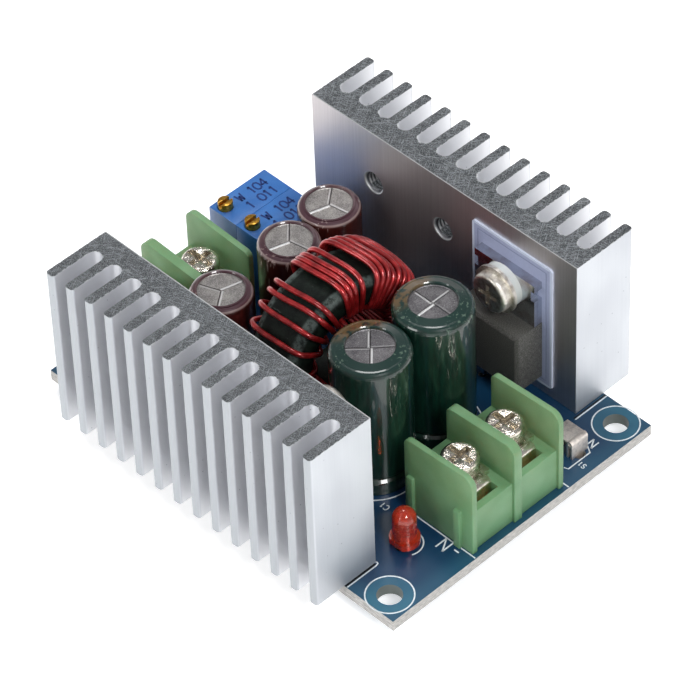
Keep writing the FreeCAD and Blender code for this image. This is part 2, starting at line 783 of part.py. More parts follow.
def capacitor(kind, number):
    """One radial capacitor standing on the board."""
    label = "%s_capacitor_%d" % (kind, number)
    x = "%s_cap_%d_x" % (kind, number)
    y = CAPACITOR_Y[kind] % number
    radius = value(kind + "_cap_radius")
    top = value(kind + "_cap_high") - value("sleeve_thick")
    gauge = value("sleeve_thick")
    vent = value(kind + "_vent_radius")
    foot_z = "%s + %s_cap_%d_stand" % (BOARD_TOP, kind, number)
    foot = gauge
    can_points = [(0, foot + value("bung_high")), (radius - 0.4, foot + value("bung_high")),
                  (radius - 0.4, foot), (radius, foot)]
    can_points += bead_curve(radius, foot, 0.0)
    can_points += shoulder_curve(radius, top, 0.0)
    can_points += [(vent, top), (vent - value("vent_sink"), top - value("vent_sink")),
                   (0, top - value("vent_sink"))]
    keep(turned_profile(label + "_can_solid", can_points, x, y, foot_z), label + "_can")
    outer = [(radius + gauge, 0)]
    outer += bead_curve(radius + gauge, foot, 0.0)
    outer += shoulder_curve(radius, top, gauge)
    lip = top + gauge + value(kind + "_lip_rise")
    outer += [(vent + 0.3, lip - gauge / 2), (vent + 0.12, lip), (vent, lip - gauge), (vent, top)]
    inner = [(radius - 0.9, 0), (radius - 0.9, foot), (radius, foot)]
    inner += bead_curve(radius, foot, 0.0)
    inner += shoulder_curve(radius, top, 0.0)
    sleeve_points = outer + inner[:2:-1] + [(radius, foot), (radius - 0.9, foot), (radius - 0.9, 0)]
    keep(turned_profile(label + "_sleeve_solid", sleeve_points, x, y, foot_z), label + "_sleeve")
    bung_foot = "%s + sleeve_thick" % foot_z
    bung = rod(label + "_bung_disc", kind + "_cap_radius - 0.4", "bung_high", x, y, bung_foot)
    leads = []
    for end in (-1, 1):
        lead_x = "%s + %d * %s_cap_pitch / 2" % (x, end, kind)
        name = "%s_lead_%d" % (label, end + 2)
        long = "lead_tail + %s + bung_high" % bung_foot
        leads.append(rod(name, "cap_lead_radius", long, lead_x, y, "-lead_tail"))
        tool = round_tool(name + "_tool", "cap_lead_radius", lead_x, y)
        soldered(name, tool, "cap_lead_radius", lead_x, y)
    return without(label + "_bung", bung, leads), leads


for kind in CAPACITOR_Y:
    bungs = []
    leads = []
    for number, _ in enumerate([alias for alias in SIZES if re.match(kind + r"_cap_\d_x", alias)], 1):
        bung, pair = capacitor(kind, number)
        bungs.append(bung)
        leads += pair
    keep(together(kind + "_bungs", bungs), kind + "_capacitor_bungs")
    keep(together(kind + "_leads", leads), kind + "_capacitor_leads")


# Screw terminals: each is built with its wire side at y = 0 and its depth along +Y
WAY_X = "((terminal_width - end_barrier_thick * 2 + mid_barrier_thick) / 4)"
CLAMP_FLOOR = "(deck_high + contact_thick - clamp_screw_long)"


def terminal_housing(kind):
    """The moulded block: a deck between three barriers, with ribs and grooves to gang blocks."""
    end_x = "(terminal_width - end_barrier_thick) / 2"
    solids = [block(kind + "_deck", "terminal_width - end_barrier_thick",
                    "terminal_depth - front_wall_set", "deck_high",
                    "0", "(terminal_depth + front_wall_set) / 2", "0")]
    for number, (x, thick) in enumerate((("-" + end_x, "end_barrier_thick"),
                                         ("0", "mid_barrier_thick"), (end_x, "end_barrier_thick"))):
        solids.append(block("%s_barrier_%d" % (kind, number), thick, "terminal_depth", "barrier_high",
                            x, "terminal_depth / 2", "0"))
    grooves = []
    for number, depth in enumerate(("rib_front_gap", "terminal_depth - rib_back_gap")):
        solids.append(block("%s_rib_%d" % (kind, number), "rib_deep * 2", "rib_wide", "rib_high",
                            "-terminal_width / 2", depth, "0"))
        grooves.append(block("%s_groove_%d" % (kind, number), "rib_deep * 2", "rib_wide + slot_play",
                             "rib_high + slot_play", "terminal_width / 2", depth, "0"))
    cuts = grooves + [barrier_slope(kind)]
    for number, sign in enumerate((-1, 1), 1):
        x = "%d * %s" % (sign, WAY_X)
        slot_long = "tongue_set + contact_thick + slot_play - slot_set"
        cuts.append(block("%s_slot_%d" % (kind, number), "tongue_width + 2 * slot_play", slot_long,
                          "deck_high", x, "slot_set + (%s) / 2" % slot_long, "pin_shoulder - slot_play"))
        cuts.append(block("%s_pin_way_%d" % (kind, number), "pin_width + 2 * slot_play",
                          "contact_thick + 2 * slot_play", "deck_high", x,
                          "tongue_set + contact_thick / 2", "-1"))
        cuts.append(rod("%s_clamp_bore_%d" % (kind, number), "clamp_screw_radius + clamp_bore_play",
                        "deck_high", x, "clamp_set", "%s - clamp_bore_play" % CLAMP_FLOOR))
    cut = without(kind + "_block", joined(kind + "_block_solid", solids), cuts)
    outer_top = value("barrier_high")
    soft = rounded(kind + "_outer_corners", cut, value("barrier_round"),
                   lambda edge: runs_along(edge, AXIS_X) and lies_at(edge, y=0, z=outer_top))
    inner_top = value("barrier_high") - value("barrier_fall")
    return rounded(kind + "_inner_corners", soft, value("barrier_round") * 0.6,
                   lambda edge: runs_along(edge, AXIS_X)
                   and lies_at(edge, y=value("terminal_depth"), z=inner_top))


def barrier_slope(kind):
    """What is taken off the barriers' tops, so that they fall towards the inner end."""
    slope = math.degrees(math.atan2(value("barrier_fall"), value("terminal_depth")))
    item = document.addObject("Part::Box", kind + "_slope")
    return bound(item, "-terminal_width", "0", "barrier_high", FreeCAD.Rotation(AXIS_X, -slope),
                 Length="2 * terminal_width", Width="2 * terminal_depth", Height="barrier_high")


def terminal_contact(name):
    """A plated strip: square plate under the screw, ridged tongue, and a leg down to the board."""
    plate = block(name + "_plate", "contact_width", "contact_back + contact_front", "contact_thick",
                  "0", "clamp_set + (contact_back - contact_front) / 2", "deck_high")
    tongue = block(name + "_tongue", "tongue_width", "clamp_set - tongue_set", "contact_thick",
                   "0", "(clamp_set + tongue_set) / 2", "deck_high")
    leg_y = "tongue_set + contact_thick / 2"
    leg = block(name + "_leg", "tongue_width", "contact_thick", "deck_high + contact_thick - pin_shoulder",
                "0", leg_y, "pin_shoulder")
    pin = block(name + "_pin", "pin_width", "contact_thick", "lead_tail + board_thick + 2 * pin_shoulder",
                "0", leg_y, "-board_thick - lead_tail")
    strip = joined(name + "_strip", [plate, tongue, leg, pin])
    top = value("deck_high") + value("contact_thick")
    bent = rounded(name + "_bend", strip, value("tongue_bend"),
                   lambda edge: runs_along(edge, AXIS_X) and lies_at(edge, y=value("tongue_set"), z=top))
    ridges = []
    for number in (0, 1, 2):
        ridges.append(block("%s_ridge_%d" % (name, number), "tongue_width - 0.4", "ridge_wide",
                            "2 * ridge_high", "0",
                            "tongue_set + tongue_bend + ridge_wide + %d * ridge_pitch" % number,
                            "deck_high + contact_thick - ridge_high"))
    seat = rod(name + "_seat", "clamp_head_radius + 0.1", "2 * ridge_high", "0", "clamp_set",
               "deck_high + contact_thick")
    bore = rod(name + "_bore", "clamp_screw_radius + screw_play", "3 * contact_thick", "0", "clamp_set",
               "deck_high - contact_thick")
    return without(name + "_cut", joined(name + "_solid", [bent] + ridges), [seat, bore])


def clamp_screw(name):
    """A plated pan head with a recess for a slotted or a cross driver, and its shank."""
    seat = "deck_high + contact_thick"
    head = rod(name + "_head", "clamp_head_radius", "clamp_head_high", "0", "clamp_set", seat)
    top = value("deck_high") + value("contact_thick") + value("clamp_head_high")
    domed = rounded(name + "_dome", head, value("clamp_head_edge"),
                    lambda edge: edge.Closed and lies_at(edge, z=top))
    shank = rod(name + "_shank", "clamp_screw_radius", "clamp_screw_long", "0", "clamp_set", CLAMP_FLOOR)
    floor = "%s + clamp_head_high - clamp_recess_depth" % seat
    bars = [block(name + "_cross", "clamp_recess_long", "clamp_recess_width", "2 * clamp_recess_depth",
                  "0", "clamp_set", floor),
            block(name + "_slot", "clamp_recess_width", "clamp_slot_long", "2 * clamp_recess_depth",
                  "0", "clamp_set", floor)]
    return without(name + "_cut", joined(name + "_solid", [domed, shank]), bars)


def terminal(kind, facing):
    """One two-way terminal; facing is -1 where its wires come from -Y, and 1 from +Y."""
    turn = FreeCAD.Rotation(AXIS_Z, 0 if facing < 0 else 180)
    centre = kind + "_terminal_x"
    edge_y = "%d * (board_length / 2 - %s_terminal_inset)" % (facing, kind)

    def placed(item, x, label):
        moved = bound(together(label + "_placed", [item]), x, edge_y, BOARD_TOP, turn)
        keep(moved, label)

    placed(terminal_housing(kind), centre, kind + "_terminal_housing")
    for number, sign in enumerate((-1, 1), 1):
        x = "%s + %d * %s" % (centre, sign, WAY_X)
        placed(terminal_contact("%s_contact_%d" % (kind, number)), x,
               "%s_terminal_contact_%d" % (kind, number))
        placed(clamp_screw("%s_clamp_%d" % (kind, number)), x, "%s_clamp_screw_%d" % (kind, number))
        y = "%s - %d * (tongue_set + contact_thick / 2)" % (edge_y, facing)
        name = "%s_contact_pin_%d" % (kind, number)
        tool = square_tool(name + "_tool", "pin_width", "contact_thick", x, y)
        soldered(name, tool, "pin_width * 0.6", x, y)


terminal("input", -1)
terminal("output", 1)


# Trimmers: moulded case on two feet, brass adjusting screw with a slot, three pins
TRIMMER_X = "(board_width / 2 - trimmer_x)"
TRIMMER_FAR_Y = "(board_length / 2 - trimmer_far_y)"
TRIMMER_TOP = "%s + trimmer_stand + trimmer_high" % BOARD_TOP
trimmer_pins = []
for number, y in enumerate((TRIMMER_FAR_Y, "%s - trimmer_wide - trimmer_gap" % TRIMMER_FAR_Y), 1):
    name = "trimmer_%d" % number
    screw_x = "%s - trimmer_long / 2 + adjuster_set" % TRIMMER_X
    screw_y = "%s + adjuster_side" % y
    case = block(name + "_case", "trimmer_long", "trimmer_wide", "trimmer_high", TRIMMER_X, y,
                 "%s + trimmer_stand" % BOARD_TOP)
    feet = []
    for end in (-1, 1):
        foot_x = "%s + %d * (trimmer_long - trimmer_foot) / 2" % (TRIMMER_X, end)
        feet.append(block("%s_foot_%d" % (name, end + 2), "trimmer_foot", "trimmer_wide", "2 * trimmer_stand",
                          foot_x, y, BOARD_TOP))
    legs = []
    for place in (-1, 0, 1):
        pin_x = "%s + %d * trimmer_pin_pitch" % (TRIMMER_X, place)
        pin_name = "%s_pin_%d" % (name, place + 2)
        long = "lead_tail + %s + 4 * trimmer_stand" % BOARD_TOP
        legs.append(rod(pin_name, "trimmer_pin_radius", long, pin_x, y, "-lead_tail"))
        tool = round_tool(pin_name + "_tool", "trimmer_pin_radius", pin_x, y)
        soldered(pin_name, tool, "trimmer_pin_radius", pin_x, y)
    well = rod(name + "_well", "adjuster_radius + screw_play", "2 * adjuster_depth", screw_x, screw_y,
               "%s - adjuster_depth" % TRIMMER_TOP)
    keep(without(name + "_cut", joined(name + "_solid", [case] + feet), [well] + legs), name + "_body")
    stem = rod(name + "_stem", "adjuster_radius", "adjuster_depth + adjuster_rise", screw_x, screw_y,
               "%s - adjuster_depth" % TRIMMER_TOP)
    groove = block(name + "_groove", "3 * adjuster_radius", "adjuster_slot_width",
                   "2 * adjuster_slot_depth", screw_x, screw_y,
                   "%s + adjuster_rise - adjuster_slot_depth" % TRIMMER_TOP)
    keep(without(name + "_adjuster_cut", stem, [groove]), name + "_adjusting_screw")
    trimmer_pins += legs
keep(together("trimmer_pin_group", trimmer_pins), "trimmer_pins")


# LED: a domed lens round two leads, one of which carries the chip's cup
LED_X = "(led_x - board_width / 2)"
LED_Y = "(led_y - board_length / 2)"
LED_FOOT = "%s + led_stand" % BOARD_TOP
led_legs = []
for number, sign in enumerate((-1, 1), 1):
    leg_x = "%s + %d * led_lead_pitch / 2" % (LED_X, sign)
    name = "led_lead_%d" % number
    led_legs.append(block(name, "led_lead", "led_lead", "lead_tail + %s + led_post_high" % LED_FOOT,
                          leg_x, LED_Y, "-lead_tail"))
    tool = square_tool(name + "_tool", "led_lead", "led_lead", leg_x, LED_Y)
    soldered(name, tool, "led_lead * 0.7", leg_x, LED_Y)
cup = taper("led_cup", "led_cup_radius * 0.7", "led_cup_radius", "led_cup_high",
            "%s - 0.2" % LED_X, LED_Y, "%s + led_post_high - led_lead" % LED_FOOT)
arm = block("led_arm", "led_lead_pitch / 2 + led_lead / 2", "led_lead", "led_lead",
            "%s - led_lead_pitch / 4 - led_lead / 4" % LED_X, LED_Y,
            "%s + led_post_high - led_lead" % LED_FOOT)
led_metal = together("led_metal", [joined("led_cup_lead", [led_legs[0], arm, cup]), led_legs[1]])
flange = rod("led_flange", "led_flange_radius", "led_flange_thick", LED_X, LED_Y, LED_FOOT)
barrel = rod("led_barrel", "led_radius", "led_high - led_radius", LED_X, LED_Y, LED_FOOT)
crown = document.addObject("Part::Sphere", "led_crown")
bound(crown, LED_X, LED_Y, "%s + led_high - led_radius" % LED_FOOT, Radius="led_radius")
flat = block("led_flat", "led_radius", "4 * led_radius", "led_flange_thick",
             "%s - led_radius * 1.55" % LED_X, LED_Y, LED_FOOT)
lens = joined("led_lens_solid", [without("led_rim", flange, [flat]), barrel, crown])
keep(without("led_lens_cut", lens, [led_metal]), "led_lens")
keep(led_metal, "led_leads")


# Folded link beside the positive input: a flat top, a back leg and a hemmed front leg
LINK_X = "(board_width / 2 - link_x)"
LINK_FRONT = "(link_y - board_length / 2 - link_long / 2)"
LINK_BACK_Y = "%s + link_long - link_thick / 2" % LINK_FRONT
LINK_TOP = "(%s + link_high)" % BOARD_TOP
hem_axis_y = "%s + hem_radius" % LINK_FRONT
hem_axis_z = "%s - hem_radius" % LINK_TOP
hem = rod("hem", "hem_radius", "link_width", "%s - link_width / 2" % LINK_X, hem_axis_y, hem_axis_z, ALONG_X)
hem_hole = rod("hem_hole", "hem_radius - link_thick", "link_width + 2", "%s - link_width / 2 - 1" % LINK_X,
               hem_axis_y, hem_axis_z, ALONG_X)
leaf_high = "link_high - hem_radius"
link_solids = [
    hem,
    block("link_top", "link_width", "link_long - hem_radius", "link_thick", LINK_X,
          "%s + link_long / 2 + hem_radius / 2" % LINK_FRONT, "%s - link_thick - link_step" % LINK_TOP),
    block("link_back", "link_width", "link_thick", "link_high - link_step", LINK_X,
          LINK_BACK_Y, BOARD_TOP),
    block("link_front_leaf", "link_width", "link_thick", leaf_high, LINK_X,
          "%s + link_thick / 2" % LINK_FRONT, BOARD_TOP),
    block("link_inner_leaf", "link_width", "link_thick", leaf_high, LINK_X,
          "%s + 2 * hem_radius - link_thick / 2" % LINK_FRONT, BOARD_TOP),
]
for name, y in (("front", "%s + link_thick / 2" % LINK_FRONT),
                ("back", LINK_BACK_Y)):
    tab_name = "link_tab_" + name
    link_solids.append(block(tab_name, "link_tab_width", "link_thick",
                             "lead_tail + %s + link_thick" % BOARD_TOP, LINK_X, y, "-lead_tail"))
    tool = square_tool(tab_name + "_tool", "link_tab_width", "link_thick", LINK_X, y)
    soldered(tab_name, tool, "link_tab_width / 2 + link_thick / 4", LINK_X, y)
keep(without("link_cut", joined("link_solid", link_solids), [hem_hole]), "folded_link")


# Surface-mounted parts in the two channels beside the heatsinks
CONTROLLER_X = "(sink_span / 2 - controller_x)"
AMPLIFIER_X = "(amplifier_x - sink_span / 2)"
REGULATOR_X = "(sink_span / 2 - regulator_x)"
chip_leads = []


def eight_lead_chip(label, x, y):
    """A small-outline chip with four gull-wing leads on each side."""
    keep(block(label + "_body", "chip_wide", "chip_long", "chip_high", x, y,
               "%s + chip_stand" % BOARD_TOP), label)
    for sign in (-1, 1):
        for place in (-1.5, -0.5, 0.5, 1.5):
            gull_lead("%s_lead_%d" % (label, len(chip_leads)), sign, "%s" % x, "chip_wide / 2",
                      "%s + %s * chip_pitch" % (y, place), "chip_lead_wide", "chip_lead_reach")


def gull_lead(name, sign, x, half, y, wide, reach):
    """A lead that leaves a chip's side, steps down and lies on the board."""
    riser_x = "%s + %d * (%s + chip_lead_thick / 2)" % (x, sign, half)
    foot_x = "%s + %d * (%s + %s / 2)" % (x, sign, half, reach)
    riser = block(name + "_riser", "chip_lead_thick", wide, "chip_high / 2", riser_x, y, BOARD_TOP)
    foot = block(name + "_foot", reach, wide, "chip_lead_thick", foot_x, y, BOARD_TOP)
    chip_leads.append(joined(name, [riser, foot]))


eight_lead_chip("controller_chip", CONTROLLER_X, "controller_y")
eight_lead_chip("amplifier_chip", AMPLIFIER_X, "amplifier_y")
keep(block("regulator_body", "regulator_wide", "regulator_long", "chip_high", REGULATOR_X, "regulator_y",
           "%s + chip_stand" % BOARD_TOP), "regulator_chip")
for place in (-1, 0, 1):
    gull_lead("regulator_lead_%d" % (place + 2), -1, REGULATOR_X, "regulator_wide / 2",
              "regulator_y + %d * regulator_pitch" % place, "chip_lead_wide", "chip_lead_reach")
gull_lead("regulator_tab", 1, REGULATOR_X, "regulator_wide / 2", "regulator_y", "3.5 * chip_lead_wide",
          "chip_lead_reach")
keep(together("chip_lead_group", chip_leads), "chip_leads")

for label, high, places in (
        ("chip_resistors", "resistor_high",
         ((CONTROLLER_X, "controller_y + 1.8 * chip_column_gap"),
          (CONTROLLER_X, "controller_y + 2.6 * chip_column_gap"),
          (AMPLIFIER_X, "amplifier_y + 1.8 * chip_column_gap"),
          (AMPLIFIER_X, "amplifier_y + 2.6 * chip_column_gap"))),
        ("chip_capacitors", "capacitor_high",
         ((CONTROLLER_X, "controller_y - 1.5 * chip_column_gap"),
          (AMPLIFIER_X, "amplifier_y - 1.5 * chip_column_gap"),
          (AMPLIFIER_X, "amplifier_y - 2.3 * chip_column_gap")))):
    bricks = []
    for number, (x, y) in enumerate(places, 1):
        bricks.append(block("%s_%d" % (label, number), "small_chip_long", "small_chip_wide", high,
                            x, y, BOARD_TOP))
    keep(together(label + "_group", bricks), label)


# Board: a plate with four mounting holes, then the drillings that the leads asked for
def board_plate():
    body, outline = body_with_sketch("board_body", "XY_Plane")
    draw_rectangle(outline, "-board_width / 2", "-board_length / 2", "board_width", "board_length")
    plate = body.newObject("PartDesign::Pad", "board_pad")
    plate.Profile = outline
    plate.setExpression("Length", linked("board_thick"))
    corners = sketch_on(body, "mount_hole_outline", "XY_Plane")
    for sign_x in (-1, 1):
        for sign_y in (-1, 1):
            draw_circle(corners, "%d * (board_width / 2 - hole_inset_x)" % sign_x,
                        "%d * (board_length / 2 - hole_inset_y)" % sign_y, "mount_hole_radius")
    holes = pocket_through(body, "mount_holes", corners)
    body.Tip = holes
    return body


keep(without("board_cut", board_plate(), drillings), "circuit_board")
keep(together("solder_group", solder_fillets), "solder_joints")

document.recompute()
faults = [item.Name for item in document.Objects if {"Invalid", "Error"} & set(item.State)]
if faults:
    raise ValueError("objects that did not compute: " + ", ".join(faults))
os.makedirs("parts", exist_ok=True)
for item in kept:
    shape = item.Shape
    if shape.isNull() or not shape.isValid() or shape.Volume <= 0:
        raise ValueError("no valid shape for " + item.Label)
    shape.exportStep("parts/%s.step" % item.Label)
    box = shape.BoundBox
    print("%-28s solids %2d  volume %8.2f  x %6.2f %6.2f  y %6.2f %6.2f  z %5.2f %5.2f" % (
        item.Label, len(shape.Solids), shape.Volume,
        box.XMin, box.XMax, box.YMin, box.YMax, box.ZMin, box.ZMax))
print("%d sub-parts" % len(kept))
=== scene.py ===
"""Looks of the step-down converter module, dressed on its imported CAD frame.

Lengths are millimetres in the part's own frame until mesh_piece() turns them into metres. New
pieces are surfaces worked out on numpy grids, and materials are written as arithmetic on shader
sockets.
"""
import json
import math

import bmesh
import bpy
import numpy as np
from mathutils import Matrix, Vector


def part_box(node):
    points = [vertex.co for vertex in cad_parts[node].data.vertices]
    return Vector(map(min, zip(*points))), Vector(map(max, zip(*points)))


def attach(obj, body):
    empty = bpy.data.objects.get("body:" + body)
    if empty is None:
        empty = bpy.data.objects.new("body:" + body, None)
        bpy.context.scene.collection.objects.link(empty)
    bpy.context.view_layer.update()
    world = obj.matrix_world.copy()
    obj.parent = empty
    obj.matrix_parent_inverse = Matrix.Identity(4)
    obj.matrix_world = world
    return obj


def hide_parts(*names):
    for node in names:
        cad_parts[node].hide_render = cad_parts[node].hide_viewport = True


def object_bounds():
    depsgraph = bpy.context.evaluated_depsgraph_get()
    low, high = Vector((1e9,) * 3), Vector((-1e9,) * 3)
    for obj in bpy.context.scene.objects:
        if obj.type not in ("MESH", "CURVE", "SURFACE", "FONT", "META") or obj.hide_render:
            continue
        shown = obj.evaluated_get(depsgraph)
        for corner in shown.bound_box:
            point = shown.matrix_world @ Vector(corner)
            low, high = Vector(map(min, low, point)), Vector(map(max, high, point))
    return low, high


MM = 0.001
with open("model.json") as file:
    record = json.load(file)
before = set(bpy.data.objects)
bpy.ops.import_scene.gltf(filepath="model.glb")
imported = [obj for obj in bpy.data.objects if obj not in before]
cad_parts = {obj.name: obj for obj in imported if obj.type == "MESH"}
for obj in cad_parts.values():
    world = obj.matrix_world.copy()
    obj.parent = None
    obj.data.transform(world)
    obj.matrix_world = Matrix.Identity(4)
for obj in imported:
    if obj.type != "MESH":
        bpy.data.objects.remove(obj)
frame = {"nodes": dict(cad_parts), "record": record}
nodes = frame["nodes"]
cad_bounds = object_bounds()
BODY_OF = {node: body for body, members in frame["record"]["behaviour"]["bodies"].items()
           for node in members}
SLOT_OF = {part["node"]: part["material_slot"] for part in frame["record"]["subparts"]}


def box_mm(node):
    """A CAD node's lowest and highest corners in millimetres."""
    low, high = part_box(node)
    return np.array(low) / MM, np.array(high) / MM


def middle_mm(node):
    low, high = box_mm(node)
    return (low + high) / 2


# Board, with its corner holes' distances from its sides
BOARD_LOW, BOARD_HIGH = box_mm("circuit_board")
BOARD_TOP = float(BOARD_HIGH[2])
HOLE_INSET_X = 2.75
HOLE_INSET_Y = 3.3

# Heatsinks: fins, the base they stand on, and the tapped holes in its inner face
SINK_FINS = 14
FIN_THICK = 1.35
SINK_BASE = 3.0
SINK_LIFTS = {"left": 0.4, "right": 0.1}
TAP_PITCH = 12.0
TAP_HEIGHT = 16.3
TAP_MOUTH = 1.7
THREAD_PITCH = 0.5

# Inductor, in its own plane, which is turned about the vertical
CORE_RADIUS = 10.0
CORE_BORE = 6.0
CORE_LONG = 8.0
COIL_TURN = math.radians(-5.0)
WIRE_RADIUS = 0.36

# Angles in degrees from which an edge counts as sharp, and up to which faces count as one
SHARP_EDGE = 30
SHARP_PRINT = 35
SHARP_WIRE = 80
FLAT = 1.0

# Rounded edges' widths and bevel steps
EDGES = {"case": 0.12, "housing": 0.14, "contact": 0.05, "clamp_screw": 0.05, "trimmer": 0.12,
         "adjusting_screw": 0.07, "chip": 0.1, "link": 0.05}
BEVEL_STEPS = 2

# Points nearer than this, in metres, are one: on new pieces and on copies of CAD nodes
SAME_POINT = 1e-7
SAME_CAD_POINT = 2e-7
NO_LENGTH = 1e-8

# Table and sky, which turns from white to grey between two heights of a unit direction
TABLE_HALF = 4.0
TABLE_WHITE = (0.86, 0.86, 0.86, 1)
TABLE_GLOW = 0.55
WHITE = (1, 1, 1, 1)
SKY_GREY = (0.28, 0.28, 0.29, 1)
SKY_TURNS = (0.05, 0.45)

# Where soft noise is cut to make a mottle
MOTTLE = (0.3, 0.7)


# Shader arithmetic
def shade(red, green, blue):
    """An on-screen colour, 0 to 255 a channel, as the linear colour that renders as it."""
    channels = np.array([red, green, blue]) / 255
    linear = np.where(channels <= 0.04045, channels / 12.92, ((channels + 0.055) / 1.055) ** 2.4)
    return (*linear.tolist(), 1.0)


class Field:
    """A shader socket that takes part in ordinary arithmetic."""

    def __init__(self, paint, socket):
        self.paint = paint
        self.socket = socket

    def maths(self, operation, *values):
        settings = {"operation": operation}
        return self.paint.node("ShaderNodeMath", settings, dict(enumerate(values)))[0]

    def __add__(self, other):
        return self.maths("ADD", self, other)

    __radd__ = __add__

    def __sub__(self, other):
        return self.maths("SUBTRACT", self, other)

    def __rsub__(self, other):
        return self.maths("SUBTRACT", other, self)

    def __mul__(self, other):
        return self.maths("MULTIPLY", self, other)

    __rmul__ = __mul__

    def __truediv__(self, other):
        return self.maths("DIVIDE", self, other)

    def least(self, other):
        return self.maths("MINIMUM", self, other)

    def most(self, other):
        return self.maths("MAXIMUM", self, other)

    def size(self):
        return self.maths("ABSOLUTE", self)

    def sine(self):
        return self.maths("SINE", self)

    def root(self):
        return self.maths("SQRT", self)

    def wrapped(self, period):
        """The remainder in a repeat of that length, from 0 up to it."""
        return self.maths("FLOORED_MODULO", self, period)

    def rising(self, start, end):
        """0 below start, 1 above end, and a smooth step between."""
        settings = {"interpolation_type": "SMOOTHSTEP", "clamp": True}
        sockets = {"Value": self, "From Min": start, "From Max": end, "To Min": 0.0, "To Max": 1.0}
        return self.paint.node("ShaderNodeMapRange", settings, sockets)["Result"]

    def falling(self, start, end):
        """1 below start, 0 above end, and a smooth step between."""
        return 1 - self.rising(start, end)


class Made:
    """A node whose outputs are read as fields."""

    def __init__(self, paint, node):
        self.paint = paint
        self.outputs = node.outputs

    def __getitem__(self, key):
        return Field(self.paint, self.outputs[key])


class Paint:
    """A material, or the world round the part, under construction."""

    def __init__(self, name, library=bpy.data.materials):
        self.made = library.new(name)
        self.made.use_nodes = True
        self.tree = self.made.node_tree
        self.tree.nodes.clear()
        self.kept = {}

    def node(self, kind, settings=None, sockets=None):
        """One shader node: its settings are set first, then its sockets get values or links."""
        made = self.tree.nodes.new(kind)
        for name, value in (settings or {}).items():
            setattr(made, name, value)
        for key, value in (sockets or {}).items():
            if isinstance(value, Field):
                self.tree.links.new(value.socket, made.inputs[key])
            else:
                made.inputs[key].default_value = value
        return Made(self, made)

    def once(self, key, make):
        """What make gives, made the first time it is asked for and kept."""
        if key not in self.kept:
            self.kept[key] = make()
        return self.kept[key]

    def spot(self):
        """The x, y and z of the place in the part's frame, in millimetres."""
        def make():
            here = self.node("ShaderNodeTexCoord")["Object"]
            split = self.node("ShaderNodeSeparateXYZ", None, {0: here})
            return [split[axis] * 1000 for axis in "XYZ"]
        return self.once("spot", make)

    def facing(self):
        """The x, y and z of the surface's outward direction."""
        def make():
            split = self.node("ShaderNodeSeparateXYZ", None,
                              {0: self.node("ShaderNodeNewGeometry")["Normal"]})
            return [split[axis] for axis in "XYZ"]
        return self.once("facing", make)

    def stretched(self, stretch, shift=(0, 0, 0), turn=0.0):
        """Object coordinates in millimetres, turned about z, then each axis over its stretch."""
        here = self.node("ShaderNodeTexCoord")["Object"]
        if turn:
            turned = {"Vector": here, "Rotation": (0, 0, math.radians(turn))}
            here = self.node("ShaderNodeMapping", {"vector_type": "POINT"}, turned)["Vector"]
        sockets = {"Vector": here, "Location": shift, "Scale": tuple(1000 / one for one in stretch)}
        return self.node("ShaderNodeMapping", {"vector_type": "POINT"}, sockets)["Vector"]

    def noise(self, grain, stretch=(1, 1, 1), detail=2.0, rough=0.5, shift=(0, 0, 0), turn=0.0):
        """Soft noise from 0 to 1, with features about grain millimetres across."""
        sockets = {"Vector": self.stretched(stretch, shift, turn), "Scale": 1 / grain,
                   "Detail": detail, "Roughness": rough}
        return self.node("ShaderNodeTexNoise", None, sockets)["Fac"]

    def specks(self, grain, shift=(0, 0, 0)):
        """Distance to the nearest of scattered points, in units of their spacing."""
        sockets = {"Vector": self.stretched((1, 1, 1), shift), "Scale": 1 / grain}
        return self.node("ShaderNodeTexVoronoi", None, sockets)["Distance"]

    def mix(self, mask, low, high):
        """The colour low where mask is 0, and high where it is 1."""
        return self.node("ShaderNodeMix", {"data_type": "RGBA"}, {0: mask, 6: low, 7: high})[2]

    def bump(self, height, depth):
        """The surface's direction over a relief of that depth in millimetres."""
        sockets = {"Height": height, "Distance": depth * MM, "Strength": 1.0}
        return self.node("ShaderNodeBump", None, sockets)["Normal"]

    def finish(self, **sockets):
        """Close the material with a Principled shader and give it back."""
        named = {name.replace("_", " "): value for name, value in sockets.items()}
        surface = self.node("ShaderNodeBsdfPrincipled", None, named)["BSDF"]
        self.node("ShaderNodeOutputMaterial", None, {"Surface": surface})
        return self.made


# Surfaces on numpy grids
def grid_quads(rows, columns, first, close_rows=False, close_columns=False):
    """The corner numbers of every quad of a grid whose points are numbered row by row."""
    row_steps = rows if close_rows else rows - 1
    column_steps = columns if close_columns else columns - 1
    row, column = np.meshgrid(np.arange(row_steps), np.arange(column_steps), indexing="ij")
    next_row = (row + 1) % rows
    next_column = (column + 1) % columns
    corners = (row * columns + column, row * columns + next_column,
               next_row * columns + next_column, next_row * columns + column)
    return np.stack(corners, axis=-1).reshape(-1, 4) + first


class Shape:
    """Vertices and faces gathered from several surfaces before they become one mesh."""

    def __init__(self):
        self.points = []
        self.faces = []
        self.count = 0

    def grid(self, points, close_rows=False, close_columns=False):
        """Add a grid of points, rows by columns by three."""
        rows, columns, _ = points.shape
        self.faces += grid_quads(rows, columns, self.count, close_rows, close_columns).tolist()
        self.points.append(points.reshape(-1, 3))
        self.count += rows * columns
        return self

    def cap(self, ring):
        """Close a ring of points with one face."""
        self.points.append(ring)
        self.faces.append(list(range(self.count, self.count + len(ring))))
        self.count += len(ring)
        return self

    def tube(self, rings):
        """Add a grid whose rows are closed rings, with a face over each end."""
        self.grid(rings, close_columns=True)
        self.cap(rings[0])
        return self.cap(rings[-1])


